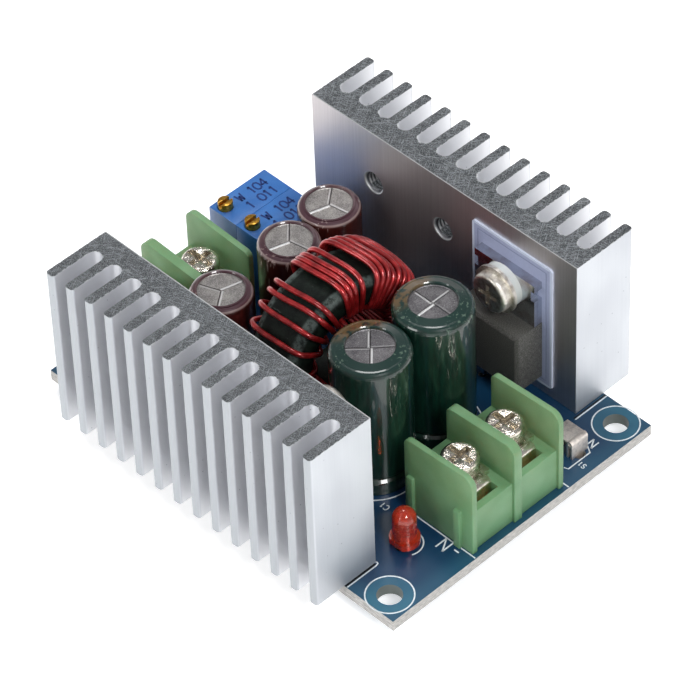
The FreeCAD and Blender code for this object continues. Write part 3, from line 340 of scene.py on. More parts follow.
def mesh_piece(name, shape, material, like, replaces=(), sharp=SHARP_PRINT):
    """Make the mesh in metres, merge its seams, face it outwards and ride it like a CAD node."""
    mesh = bpy.data.meshes.new(name)
    mesh.from_pydata((np.concatenate(shape.points) * MM).tolist(), [], shape.faces)
    work = bmesh.new()
    work.from_mesh(mesh)
    bmesh.ops.remove_doubles(work, verts=work.verts, dist=SAME_POINT)
    bmesh.ops.dissolve_degenerate(work, edges=work.edges, dist=NO_LENGTH)
    bmesh.ops.recalc_face_normals(work, faces=work.faces)
    work.to_mesh(mesh)
    work.free()
    return placed(name, mesh, material, like, replaces, sharp)


def placed(name, mesh, material, like, replaces, sharp):
    """Make a mesh an object that rides as a CAD node does."""
    mesh.materials.clear()
    mesh.materials.append(material)
    mesh.shade_smooth()
    mesh.set_sharp_from_angle(angle=math.radians(sharp))
    piece = bpy.data.objects.new(name, mesh)
    bpy.context.scene.collection.objects.link(piece)
    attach(piece, BODY_OF[like])
    if replaces:
        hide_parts(*replaces)
    SLOT_OF[like]
    return piece


def softened(node, material, width):
    """A copy of a CAD node with flat faces whole again and its edges rounded to that width."""
    sharp = math.radians(SHARP_EDGE)
    work = bmesh.new()
    work.from_mesh(nodes[node].data)
    bmesh.ops.remove_doubles(work, verts=work.verts, dist=SAME_CAD_POINT)
    bmesh.ops.dissolve_limit(work, angle_limit=math.radians(FLAT), verts=work.verts,
                             edges=work.edges)
    edges = [edge for edge in work.edges
             if len(edge.link_faces) == 2 and edge.calc_face_angle(0) > sharp]
    bmesh.ops.bevel(work, geom=edges, offset=width * MM, segments=BEVEL_STEPS, profile=0.5,
                    affect="EDGES", clamp_overlap=True)
    bmesh.ops.triangulate(work, faces=work.faces)
    mesh = bpy.data.meshes.new(node + "_soft")
    work.to_mesh(mesh)
    work.free()
    return placed(node + "_soft", mesh, material, node, (node,), SHARP_EDGE)


def dressed(node, material):
    """A CAD node that keeps its shape and takes a material."""
    mesh = nodes[node].data
    mesh.materials.clear()
    mesh.materials.append(material)


def smooth_step(value, start, end):
    """0 below start, 1 above end, and a smooth cubic between."""
    share = np.clip((value - start) / (end - start), 0, 1)
    return share * share * (3 - 2 * share)


def tube_rings(path, across, radius, sides):
    """Rings round a path, each a circle along two directions that are square to the path.

    The first direction is the cross product of the path's run and across, and the second is the
    cross product of the first and the run.
    """
    along = np.gradient(path, axis=0)
    lift = np.cross(along, across)
    lift /= np.linalg.norm(lift, axis=1, keepdims=True)
    flank = np.cross(lift, along)
    flank /= np.linalg.norm(flank, axis=1, keepdims=True)
    angle = np.linspace(0, 2 * np.pi, sides, endpoint=False)
    return (path[:, None] + radius * (np.cos(angle)[None, :, None] * lift[:, None]
                                      + np.sin(angle)[None, :, None] * flank[:, None]))


# Print: thin flat strokes that lie on a surface
PRINT_THICK = 0.03


def stroke_slab(shape, points, width, height, closed=False):
    """Add a slab along flat points, whose edges are the points moved half a width aside."""
    points = np.asarray(points, float)
    if closed:
        along = np.roll(points, -1, axis=0) - np.roll(points, 1, axis=0)
    else:
        along = np.gradient(points, axis=0)
    along /= np.linalg.norm(along, axis=1, keepdims=True)
    aside = np.stack([-along[:, 1], along[:, 0]], axis=1) * width / 2
    left, right = points + aside, points - aside
    low = np.full((len(points), 1), height)
    high = low + PRINT_THICK
    rings = np.stack([np.hstack([left, low]), np.hstack([right, low]), np.hstack([right, high]),
                      np.hstack([left, high])], axis=1)
    shape.grid(rings, close_rows=closed, close_columns=True)
    if not closed:
        shape.cap(rings[0]).cap(rings[-1])


def arc_points(centre, radius, steps, start=0.0, end=360.0):
    """Points on an arc, by angle in degrees; a full circle leaves its last point out."""
    angle = np.radians(np.linspace(start, end, steps, endpoint=end - start < 360))
    round_x, round_y = np.cos(angle), np.sin(angle)
    return np.stack([centre[0] + radius * round_x, centre[1] + radius * round_y], axis=1)


# Each letter's strokes on a cell 0.6 wide and 1 high, as corner points
LETTERS = {
    "0": [[(0.3, 0), (0.08, 0.12), (0, 0.35), (0, 0.65), (0.08, 0.88), (0.3, 1), (0.52, 0.88),
           (0.6, 0.65), (0.6, 0.35), (0.52, 0.12), (0.3, 0)]],
    "1": [[(0.12, 0.78), (0.32, 1)], [(0.32, 1), (0.32, 0)]],
    "4": [[(0.45, 0), (0.45, 1)], [(0.45, 1), (0, 0.3)], [(0, 0.3), (0.62, 0.3)]],
    "C": [[(0.6, 0.83), (0.45, 0.97), (0.25, 1), (0.07, 0.85), (0, 0.6), (0, 0.4), (0.07, 0.15),
           (0.25, 0), (0.45, 0.03), (0.6, 0.17)]],
    "N": [[(0, 0), (0, 1)], [(0, 1), (0.6, 0)], [(0.6, 0), (0.6, 1)]],
    "S": [[(0.58, 0.83), (0.42, 0.98), (0.2, 1), (0.03, 0.85), (0.08, 0.62), (0.5, 0.42),
           (0.58, 0.2), (0.42, 0.02), (0.2, 0), (0.02, 0.17)]],
    "W": [[(0, 1), (0.15, 0)], [(0.15, 0), (0.3, 0.7)], [(0.3, 0.7), (0.45, 0)],
          [(0.45, 0), (0.6, 1)]],
    "-": [[(0.1, 0.64), (0.5, 0.64)]],
    " ": [],
}


def lettering(shape, words, start, reading, tops, size, width, height, spacing):
    """Lay letters on a flat place: reading is the line's direction, and tops the letters' up."""
    reading, tops = np.asarray(reading, float), np.asarray(tops, float)
    for number, letter in enumerate(words):
        for points in LETTERS[letter]:
            cell = np.asarray(points) + (number * spacing, 0)
            flat = np.asarray(start) + size * (cell[:, :1] * reading + cell[:, 1:] * tops)
            stroke_slab(shape, flat, width, height)


# Finishes
def board_finish():
    """Blue solder mask with a painted sheen, teal towards the edges and round the corner holes,
    over a pale glass-fibre edge.
    """
    paint = Paint("blue_solder_mask")
    x, y, _ = paint.spot()
    _, _, up = paint.facing()
    edge = (BOARD_HIGH[0] - x.size()).least(BOARD_HIGH[1] - y.size())
    hole_x = x.size() - (BOARD_HIGH[0] - HOLE_INSET_X)
    hole_y = y.size() - (BOARD_HIGH[1] - HOLE_INSET_Y)
    hole = (hole_x * hole_x + hole_y * hole_y).root()
    cloud = paint.noise(9.0, detail=1.0)
    # Painted sheen: the blue is lifted to teal near the edges and round the corner holes, with a
    # random cloud
    painted_sheen_and_cloud = edge.falling(0.3, 3.2) * 0.28 + hole.falling(2.6, 3.3) * 0.5 + cloud * 0.35 - 0.1
    blue = paint.mix(painted_sheen_and_cloud.most(0).least(1), shade(13, 49, 84), shade(48, 108, 132))
    weave = paint.noise(0.35, detail=1.0)
    fibre = paint.noise(0.25, stretch=(3, 3, 0.5), detail=2.0)
    side = paint.mix(fibre.rising(*MOTTLE), shade(158, 156, 152), shade(206, 203, 199))
    side = paint.mix(hole.falling(2.2, 2.6), side, shade(104, 112, 108))
    flat = up.size().rising(0.5, 0.7)
    base = paint.mix(flat, side, blue)
    relief = paint.bump(weave * 0.5 + cloud, 0.012)
    return paint.finish(Base_Color=base, Roughness=0.62 - flat * 0.3, Normal=relief,
                        Coat_Weight=0.35, Coat_Roughness=0.12)


def matt_finish(name, colour, roughness, grain=0.8):
    """A matt skin whose colour and gloss cloud a little, from a fifth darker up to the colour."""
    paint = Paint(name)
    cloud = paint.noise(grain, detail=2.0)
    darker = (*(channel * 0.8 for channel in colour[:3]), 1.0)
    base = paint.mix(cloud.rising(*MOTTLE), darker, colour)
    return paint.finish(Base_Color=base, Roughness=roughness + cloud * 0.08,
                        Normal=paint.bump(cloud, 0.01))


def greatest(masks):
    """The greatest of several masks at each place."""
    whole = masks[0]
    for mask in masks[1:]:
        whole = mask.most(whole)
    return whole


def sink_finish(side):
    """Extruded aluminium: satin drawn sides, a brushed inner face, and sawn, scratched ends.

    The distance to the fins' outline comes from the slot that a place is nearest to: a slot is a
    half disc at its root and straight from there out, so it is the distance to a line segment.
    """
    paint = Paint("sink_aluminium_" + side)
    low, high = box_mm("heatsink_" + side)
    front, back = float(low[1]), float(high[1])
    sign = 1 if side == "right" else -1
    inner = float(low[0] if sign > 0 else high[0])
    x, y, z = paint.spot()
    turn_x, _, turn_z = paint.facing()
    outward = (x - inner) * sign
    pitch = (back - front - FIN_THICK) / (SINK_FINS - 1)
    slot_half = (pitch - FIN_THICK) / 2
    slot_y = (y - (front + FIN_THICK)).wrapped(pitch) - slot_half
    slot_x = (outward - (SINK_BASE + slot_half)).least(0)
    slot_edge = ((slot_x * slot_x + slot_y * slot_y).root() - slot_half).size()
    end = (y - front).least(back - y)
    rim = slot_edge.least(end).least(outward)

    # Sawn ends: mottled grey, scratched three ways, with a raised burr along the outline and the
    # inner face's edge, painted bright there as a painted highlight
    fret = paint.noise(0.5, detail=2.0)
    burr_and_highlight = rim.falling(0.04, 0.14) * fret.rising(0.45, 0.6)
    burr_and_highlight = burr_and_highlight.most(outward.falling(0.08, 0.2) * 0.8)
    grit = paint.noise(0.13, detail=2.0, rough=0.75)
    cloud = paint.noise(2.5, detail=2.0)
    scratch = greatest([
        paint.noise(0.07, stretch=(24, 1, 1), detail=1.0, shift=shift, turn=turn).rising(0.57, 0.72)
        for turn, shift in ((38, (3, 7, 1)), (-30, (1, 2, 5)), (80, (9, 4, 2)))])
    tone = grit.rising(0.46, 0.66) * 0.75 + cloud * 0.35 - 0.1
    sawn = paint.mix(tone.most(0).least(1), shade(82, 85, 88), shade(176, 180, 183))
    sawn = paint.mix(scratch * 0.7, sawn, shade(204, 210, 214))
    sawn = paint.mix(burr_and_highlight.least(1), sawn, shade(236, 238, 238))

    # Drawn sides: painted light on the walls in the slots, painted shade on the fin tips, and a few
    # pits
    streak = paint.noise(0.22, stretch=(1, 1, 90), detail=2.0)
    bloom = paint.noise(6.0, stretch=(1, 1, 1.6), detail=1.0)
    pit = paint.specks(1.6, shift=(2, 5, 3)).falling(0.03, 0.07)
    drawn = paint.mix((streak * 0.2 + bloom * 0.8).rising(*MOTTLE), shade(200, 203, 208),
                      shade(212, 215, 219))
    tips = float(high[0] - low[0]) - 0.3
    # The walls in the slots are painted pale as painted light, and the fin tips darker as painted
    # shade
    slot_wall_light = end.rising(0.3, 0.8) * outward.falling(tips - 0.2, tips)
    drawn = paint.mix(slot_wall_light, drawn, shade(236, 237, 240))
    drawn = paint.mix(outward.rising(tips, tips + 0.2), drawn, shade(180, 184, 188))
    drawn = paint.mix(pit * 0.6, drawn, shade(120, 126, 136))

    # Tapped holes, with their thread as rings along the bore: painted shade in the grooves and a
    # painted highlight on the crests, over a bump
    up = z - (BOARD_TOP + SINK_LIFTS[side] + TAP_HEIGHT)
    holes = []
    for place in (-TAP_PITCH, 0.0, TAP_PITCH):
        across = y - (place + (front + back) / 2)
        holes.append((across * across + up * up).root().falling(TAP_MOUTH - 0.08, TAP_MOUTH))
    hole = greatest(holes) * outward.falling(SINK_BASE + 0.2, SINK_BASE + 0.5)
    thread = ((outward * (2 * math.pi / THREAD_PITCH)).sine() * 0.5 + 0.5) * hole
    thread_shading = paint.mix(thread, shade(90, 92, 98), shade(236, 238, 240))

    inside = (turn_x * -sign).rising(0.8, 0.95)
    brushed = paint.mix(streak, shade(196, 189, 190), shade(216, 211, 212))
    top = turn_z.size().rising(0.6, 0.8)
    base = paint.mix(inside, drawn, brushed)
    base = paint.mix(top, base, sawn)
    base = paint.mix(hole * (1 - top), base, thread_shading)
    rough = 0.52 - inside * 0.1 + top * 0.04 + streak * 0.05
    height = (grit * top * 1.4 + streak * (1 - top) * 0.05 + thread * 8 + burr_and_highlight * 2 * top
              - scratch * top)
    return paint.finish(Base_Color=base, Metallic=1.0, Roughness=rough,
                        Normal=paint.bump(height, 0.03))


def can_finish(name, centre, arms, dark, pale):
    """A capacitor's bare end: speckled aluminium, scored by arms that meet in its middle, each
    groove painted dark as painted shade and its lit edge painted white as a painted highlight.

    Each arm is an angle in degrees and a glint, which is how bright and wide its lit edge is.
    """
    paint = Paint(name)
    x, y, _ = paint.spot()
    dx = x - float(centre[0])
    dy = y - float(centre[1])
    groove_and_shade = 0.0
    light = 0.0
    for angle, glint in arms:
        cos, sin = math.cos(math.radians(angle)), math.sin(math.radians(angle))
        along = dx * cos + dy * sin
        across = dy * cos - dx * sin
        reach = along.rising(-0.05, 0.05) * along.falling(2.75, 3.05)
        groove = across.size().falling(0.03, 0.1) * reach
        ledge = (across - 0.18).size().falling(0.07 + glint * 0.06, 0.14 + glint * 0.1)
        groove_and_shade = groove.most(groove_and_shade)
        light = (ledge * reach * glint).most(light)
    grit = paint.noise(0.13, detail=2.0, rough=0.75)
    blot = paint.noise(1.5, detail=2.0)
    speck = paint.specks(0.28).falling(0.1, 0.28) * grit.rising(0.4, 0.6)
    mottle = (grit * 0.9 + blot * 0.5 - 0.2).rising(0.25, 0.75)
    grey = paint.mix(mottle, dark, pale)
    grey = paint.mix(speck * 0.4, grey, shade(216, 216, 216))
    # Painted shade in the grooves, then a painted highlight on their lit edges
    grey = paint.mix(groove_and_shade * 0.8, grey, shade(62, 60, 62))
    grey = paint.mix(light, grey, shade(250, 250, 250))
    relief = paint.bump(grit * 0.6 - groove_and_shade * 4 + light * 2, 0.05)
    return paint.finish(Base_Color=grey, Metallic=0.75, Roughness=0.42, Normal=relief)


def sleeve_finish(name, centre, radius, top, looks, scorch, seams):
    """Glossy shrink sleeve: its lip is scorched on one side and wrinkled by its seams.

    Below the seams, painted highlights run down its side as pale streaks on its creases, and the
    wrinkles by the seams carry painted glints. Scorch and seams are angles in degrees.
    """
    paint = Paint(name)
    x, y, z = paint.spot()
    dx = x - float(centre[0])
    dy = y - float(centre[1])
    away = (dx * dx + dy * dy).root()

    def towards(angle, spread):
        """1 at that angle round the sleeve, and 0 beyond the spread on either side."""
        turn = math.radians(angle)
        aim = (dx * math.cos(turn) + dy * math.sin(turn)) / away
        return aim.rising(math.cos(math.radians(spread)), math.cos(math.radians(spread * 0.45)))

    fold = paint.noise(0.6, stretch=(1, 1, 8), detail=2.0)
    lip = away.falling(radius * 0.9, radius * 0.98) * z.rising(top - 1.0, top - 0.6)
    cloud = paint.noise(1.2, detail=2.0)
    wrinkle = paint.noise(0.45, stretch=(1, 1, 2), detail=2.0, rough=0.6)
    body = paint.mix(fold.rising(*MOTTLE), looks["body"], looks["deep"])
    base = paint.mix(lip, body, looks["lip"])
    burnt = towards(scorch, 62) * lip * cloud.rising(0.36, 0.5)
    base = paint.mix(burnt * looks["scorched"], base, looks["scorch"])
    # Painted highlight: a thin pale ring round the top of the shoulder
    ring = (away - radius * 0.955).size().falling(0.05, 0.16) * z.rising(top - 0.8, top - 0.5)
    base = paint.mix(ring * looks["ringed"], base, looks["pale"])
    seam = 0.0
    glint_reach = 0.0
    for angle in seams:
        seam = (towards(angle, 30) * lip).most(seam)
        glint_reach = towards(angle, 34).most(glint_reach)
    # Painted highlights: glints on the seams' wrinkles, and pale streaks down the creases below
    # them
    glint = seam * wrinkle.rising(0.59, 0.64)
    split = paint.noise(0.42, stretch=(1, 1, 9), detail=3.0, rough=0.6, shift=(4, 1, 2))
    near_lip = z.rising(top * 0.55, top * 0.95) * (1 - lip)
    split = split.rising(0.6, 0.66) * glint_reach * near_lip
    base = paint.mix((glint * 0.45).most(split * 0.8), base, looks["pale"])
    relief = paint.bump(fold * 0.3 + wrinkle * seam + split, 0.04)
    return paint.finish(Base_Color=base, Roughness=0.3, Normal=relief, Coat_Weight=1.0,
                        Coat_Roughness=0.05, Specular_IOR_Level=0.3)


def moulded_mottle(paint):
    """A moulded plastic's fine skin, and the mottle that it makes with a broad cloud."""
    skin = paint.noise(0.12, detail=2.0)
    cloud = paint.noise(3.0, detail=1.0)
    return skin, (cloud * 0.6 + skin * 0.4).rising(*MOTTLE)


def moulded_finish(name, colour, pale, roughness, **more):
    """A moulded plastic with a faint mottle and a fine skin."""
    paint = Paint(name)
    skin, mottle = moulded_mottle(paint)
    return paint.finish(Base_Color=paint.mix(mottle, colour, pale),
                        Roughness=roughness + skin * 0.08, Normal=paint.bump(skin, 0.01), **more)


def plated_finish(name, colour, stain, roughness, grain=0.5, depth=0.03):
    """Bright plated metal with tarnish in its hollows."""
    paint = Paint(name)
    cloud = paint.noise(grain, detail=3.0, rough=0.6)
    base = paint.mix(cloud.rising(0.35, 0.75), colour, stain)
    return paint.finish(Base_Color=base, Metallic=1.0, Roughness=roughness + cloud * 0.12,
                        Normal=paint.bump(cloud, depth))


def enamel_finish():
    """Clear red enamel over copper wire."""
    paint = Paint("red_wire_enamel")
    cloud = paint.noise(1.3, detail=2.0)
    scuff = paint.noise(0.3, detail=2.0).rising(0.6, 0.75)
    base = paint.mix(cloud.rising(*MOTTLE), shade(134, 18, 22), shade(188, 42, 44))
    base = paint.mix(scuff * 0.25, base, shade(212, 96, 92))
    return paint.finish(Base_Color=base, Metallic=0.6, Roughness=0.3 + cloud * 0.1, Coat_Weight=0.9,
                        Coat_Roughness=0.14, Normal=paint.bump(cloud, 0.02))


def core_finish():
    """Dark green powder coat, pale along the ring's outer edges as wear and as a painted reflection
    on the rounded edge, and scuffed on its rim.
    """
    paint = Paint("core_coat")
    centre = [float(one) for one in middle_mm("inductor_core")]
    x, y, z = paint.spot()
    dx = x - centre[0]
    dy = y - centre[1]
    up = z - centre[2]
    across = dx * math.cos(COIL_TURN) + dy * math.sin(COIL_TURN)
    along = (dy * math.cos(COIL_TURN) - dx * math.sin(COIL_TURN)).size()
    away = (across * across + up * up).root()
    half_long = CORE_LONG / 2
    edge = (away.rising(CORE_RADIUS - 0.9, CORE_RADIUS - 0.5)
            * along.rising(half_long - 1.5, half_long - 1.1))
    grit = paint.noise(0.2, detail=3.0, rough=0.65)
    wear = paint.noise(0.7, detail=3.0, rough=0.7)
    scuff = paint.noise(0.35, stretch=(1, 5, 1), detail=2.0).rising(0.7, 0.76)
    mottle = paint.noise(1.1, detail=2.0)
    base = paint.mix((grit * 0.5 + mottle * 0.5).rising(0.35, 0.7), shade(3, 7, 6),
                     shade(24, 34, 28))
    # Pale edge band: partly wear, partly a painted reflection on the rounded edge
    worn_sheen_and_scuff = (edge * wear.rising(0.3, 0.6) * 0.4).most(scuff * 0.3)
    base = paint.mix(worn_sheen_and_scuff, base, shade(112, 126, 122))
    return paint.finish(Base_Color=base, Roughness=0.5, Specular_IOR_Level=0.25,
                        Normal=paint.bump(grit + wear * 0.5, 0.03))


def pad_finish(side):
    """Lavender silicone pad with a pressed line inside its edge, painted dark as painted shade, and
    a rim painted pale as a painted highlight.
    """
    paint = Paint("pad_" + side)
    low, high = box_mm("insulating_pad_" + side)
    _, y, z = paint.spot()
    edge = (y - low[1]).least(high[1] - y).least(z - low[2]).least(high[2] - z)
    line = (edge - 0.95).size().falling(0.03, 0.1)
    grain = paint.noise(0.3, detail=2.0)
    base = paint.mix(grain, shade(150, 158, 190), shade(168, 176, 204))
    # Painted highlight: the rim is paled
    base = paint.mix(edge.falling(0.25, 0.45) * 0.8, base, shade(205, 214, 232))
    # Painted shade: the pressed line is darkened
    base = paint.mix(line * 0.6, base, shade(104, 112, 146))
    return paint.finish(Base_Color=base, Roughness=0.5, Normal=paint.bump(grain - line * 2, 0.02))


def case_finish(name):
    """Dark moulding compound with a sandy skin."""
    paint = Paint(name)
    sand = paint.noise(0.1, detail=2.0, rough=0.7)
    base = paint.mix(sand.rising(0.4, 0.8), shade(55, 54, 50), shade(128, 128, 125))
    return paint.finish(Base_Color=base, Roughness=0.55, Normal=paint.bump(sand, 0.03))


def trimmer_finish(number, bloom):
    """Blue moulding; bloom is how strongly the faces turned to -x are paled by a painted sheen,
    from 0 to 1.
    """
    paint = Paint("trimmer_%d_blue" % number)
    turn_x, _, _ = paint.facing()
    skin, mottle = moulded_mottle(paint)
    base = paint.mix(mottle, shade(44, 100, 170), shade(56, 114, 184))
    # Painted sheen on the faces turned to -x
    base = paint.mix((turn_x * -1).rising(0.7, 0.95) * bloom, base, shade(132, 150, 190))
    return paint.finish(Base_Color=base, Roughness=0.36 + skin * 0.08,
                        Normal=paint.bump(skin, 0.006))


def lens_finish():
    """Clear red epoxy, a little cloudy inside, with a faint ripple from its mould."""
    paint = Paint("red_lens")
    cloud = paint.noise(1.2, detail=2.0)
    base = paint.mix(cloud.rising(*MOTTLE), shade(232, 74, 46), shade(250, 88, 58))
    return paint.finish(Base_Color=base, Roughness=0.07 + cloud * 0.04, IOR=1.5,
                        Transmission_Weight=0.68, Coat_Weight=0.4, Normal=paint.bump(cloud, 0.01))


GREEN_SAGE = moulded_finish("sage_green_nylon", shade(98, 142, 98), shade(114, 156, 114),
                            roughness=0.42, Subsurface_Weight=0.08)
BRIGHT_TIN = plated_finish("tinned_lead", shade(214, 212, 208), shade(176, 174, 170), 0.22)
SOLDER = plated_finish("solder", shade(205, 205, 206), shade(170, 170, 172), 0.28, grain=0.8)
NICKEL = plated_finish("bright_nickel", shade(240, 236, 226), shade(200, 190, 172), 0.18, grain=0.6)
CLAMP_STEEL = plated_finish("clamp_screw_plate", shade(236, 231, 220), shade(176, 166, 150), 0.18,
                            grain=0.7, depth=0.14)
SCREW_STEEL = plated_finish("sink_screw_plate", shade(240, 236, 228), shade(190, 182, 170), 0.34,
                            grain=0.7, depth=0.1)
TAB_METAL = plated_finish("tab_plate", shade(206, 210, 216), shade(168, 158, 156), 0.12,
                          grain=3.0, depth=0.01)
BRASS = plated_finish("turned_brass", shade(214, 166, 72), shade(150, 100, 34), 0.26, grain=0.4)
WHITE_NYLON = moulded_finish("white_nylon", shade(204, 205, 200), shade(220, 220, 215),
                             roughness=0.3, Coat_Weight=0.3, Subsurface_Weight=0.15)
INK = matt_finish("navy_ink", shade(28, 55, 118), 0.6, grain=0.2)
SILK = matt_finish("silk_print", shade(232, 240, 244), 0.55, grain=0.25)
# Flat dark colour for the strips of painted shadow under the sinks' front ends
SHADOW_STRIP = matt_finish("painted_gap_shadow", shade(24, 29, 36), 0.7)
RUBBER = matt_finish("bung_rubber", shade(37, 35, 35), 0.7, grain=0.15)
CHIP_BLACK = case_finish("chip_compound")
RESISTOR = matt_finish("resistor_glaze", shade(33, 33, 37), 0.4, grain=0.3)
CERAMIC = matt_finish("fired_ceramic", shade(160, 126, 92), 0.5, grain=0.2)
LINK_METAL = plated_finish("folded_tin_plate", shade(248, 240, 232), shade(214, 206, 200), 0.5)

# CAD nodes that keep their shape
dressed("circuit_board", board_finish())
dressed("heatsink_left", sink_finish("left"))
dressed("heatsink_right", sink_finish("right"))
for side, device in (("right", "transistor"), ("left", "rectifier")):
    dressed("insulating_pad_" + side, pad_finish(side))
    dressed(device + "_leadframe", TAB_METAL)
    dressed("screw_bushing_" + side, WHITE_NYLON)
    dressed("sink_washer_" + side, SCREW_STEEL)
    dressed("sink_screw_" + side, SCREW_STEEL)
dressed("inductor_core", core_finish())
dressed("heatsink_pins", BRIGHT_TIN)
dressed("trimmer_pins", BRIGHT_TIN)
dressed("led_leads", BRIGHT_TIN)
dressed("led_lens", lens_finish())
dressed("chip_leads", BRIGHT_TIN)
dressed("chip_resistors", RESISTOR)
dressed("chip_capacitors", CERAMIC)
dressed("solder_joints", SOLDER)
for kind in ("input", "output"):
    dressed(kind + "_capacitor_bungs", RUBBER)
    dressed(kind + "_capacitor_leads", BRIGHT_TIN)

# CAD nodes with rounded edges
CASE_BLACK = case_finish("transistor_compound")
for device in ("transistor", "rectifier"):
    softened(device + "_case", CASE_BLACK, EDGES["case"])
for kind in ("input", "output"):
    softened(kind + "_terminal_housing", GREEN_SAGE, EDGES["housing"])
    for number in (1, 2):
        softened("%s_terminal_contact_%d" % (kind, number), NICKEL, EDGES["contact"])
        softened("%s_clamp_screw_%d" % (kind, number), CLAMP_STEEL, EDGES["clamp_screw"])
# How strongly each trimmer's faces turned to -x carry a painted sheen
TRIMMER_SHEEN = {1: 0.85, 2: 0.0}
for number, bloom in TRIMMER_SHEEN.items():
    softened("trimmer_%d_body" % number, trimmer_finish(number, bloom), EDGES["trimmer"])
    softened("trimmer_%d_adjusting_screw" % number, BRASS, EDGES["adjusting_screw"])
for chip in ("controller_chip", "amplifier_chip", "regulator_chip"):
    softened(chip, CHIP_BLACK, EDGES["chip"])
softened("folded_link", LINK_METAL, EDGES["link"])

# Capacitors: each end's scored arms, as (angle, glint)
CAPACITORS = {
    "input_capacitor_1": ((45, 0.55), (135, 0.25), (225, 0.75), (318, 0.2)),
    "input_capacitor_2": ((0, 0.6), (90, 0.55), (180, 1.0), (270, 0.15)),
    "output_capacitor_1": ((-16, 0.8), (111, 0.3), (217, 0.5)),
    "output_capacitor_2": ((163, 1.0), (45, 0.35), (-79, 0.4)),
    "output_capacitor_3": ((163, 1.0), (39, 0.4), (-80, 0.6)),
}
CAN_GREYS = {"input": (shade(84, 82, 86), shade(144, 142, 144)),
             "output": (shade(122, 119, 118), shade(188, 184, 180))}
# Sleeve colours; pale is the colour of every painted highlight on a sleeve: the ring round its
# shoulder, the glints on its seams and the streaks down its creases
SLEEVE_LOOKS = {
    "input": {"body": shade(16, 50, 40), "deep": shade(12, 34, 28), "lip": shade(16, 46, 41),
              "scorch": shade(108, 84, 52), "pale": shade(112, 136, 118),
              "scorched": 0.75, "ringed": 0.0},
    "output": {"body": shade(66, 24, 20), "deep": shade(48, 17, 15), "lip": shade(72, 44, 52),
               "scorch": shade(120, 92, 84), "pale": shade(178, 156, 152),
               "scorched": 0.15, "ringed": 0.5},
}
# Where each sleeve's lip is scorched and where its seams lie, as angles
SLEEVE_MARKS = {
    "input_capacitor_1": (70, (158, -66)),
    "input_capacitor_2": (100, (170, -40, -88)),
    "output_capacitor_1": (120, (150,)),
    "output_capacitor_2": (90, (178, -150)),
    "output_capacitor_3": (20, (-160,)),
}
for node, arms in CAPACITORS.items():
    kind = node.split("_")[0]
    low, high = box_mm(node + "_sleeve")
    centre = (low[:2] + high[:2]) / 2
    radius = float(high[0] - low[0]) / 2
    dressed(node + "_can", can_finish(node + "_end", centre, arms, *CAN_GREYS[kind]))
    sleeve = sleeve_finish(node + "_skin", centre, radius, float(high[2]), SLEEVE_LOOKS[kind],
                           *SLEEVE_MARKS[node])
    dressed(node + "_sleeve", sleeve)


# Winding: each turn's angle on the ring's far side and on its near side, how far its outer run
# stands off the core, and how far it reaches past the core's near face
TURNS = (
    (232.0, 228.0, 0.2, 0.0), (214.0, 210.0, 0.2, 0.0), (196.0, 192.0, 0.2, 0.0),
    (178.0, 174.0, 0.2, 0.0), (153.8, 149.9, 0.2, 0.1), (138.5, 134.7, 0.25, 0.1),
    (127.1, 121.4, 0.3, 0.15), (119.5, 114.2, 0.35, 0.15), (102.5, 97.4, 0.75, 0.0),
    (98.6, 93.2, 0.85, 0.0), (94.6, 89.0, 0.9, 0.0), (87.6, 82.2, 0.95, 0.0),
    (76.0, 69.0, 1.2, 0.0), (71.8, 64.0, 1.25, 0.0), (67.5, 58.8, 1.3, 0.0),
    (63.2, 53.4, 1.0, 0.0), (58.8, 47.9, 1.3, 0.0), (53.6, 41.6, 1.3, 0.0),
    (48.4, 35.9, 1.3, 0.0), (43.0, 30.0, 1.2, 0.0), (37.0, 24.5, 0.9, 0.0),
    (24.0, 15.5, 0.6, 0.0), (18.5, 10.5, 0.5, 0.0), (12.5, 5.5, 0.4, 0.0),
    (2.0, -5.0, 0.3, 0.0), (-4.0, -10.5, 0.3, 0.0), (-10.0, -16.0, 0.3, 0.0),
    (-20.0, -26.0, 0.2, 0.0), (-26.0, -31.5, 0.2, 0.0), (-32.0, -37.0, 0.2, 0.0),
    (-42.0, -47.0, 0.2, 0.0), (-48.0, -52.5, 0.2, 0.0),
)
# How far every turn reaches past the core's far face, how square its section is, and the shares
# of a turn along which its plane swings, outside the ring and in the bore
FAR_REACH = 0.45
TURN_POWER = 4.3
TURN_STEPS = 56
OUTER_SWING = (0.36, 0.64)
BORE_SWING = (0.86, 1.0)
LEG_STEPS = 12
WIRE_SIDES = 12


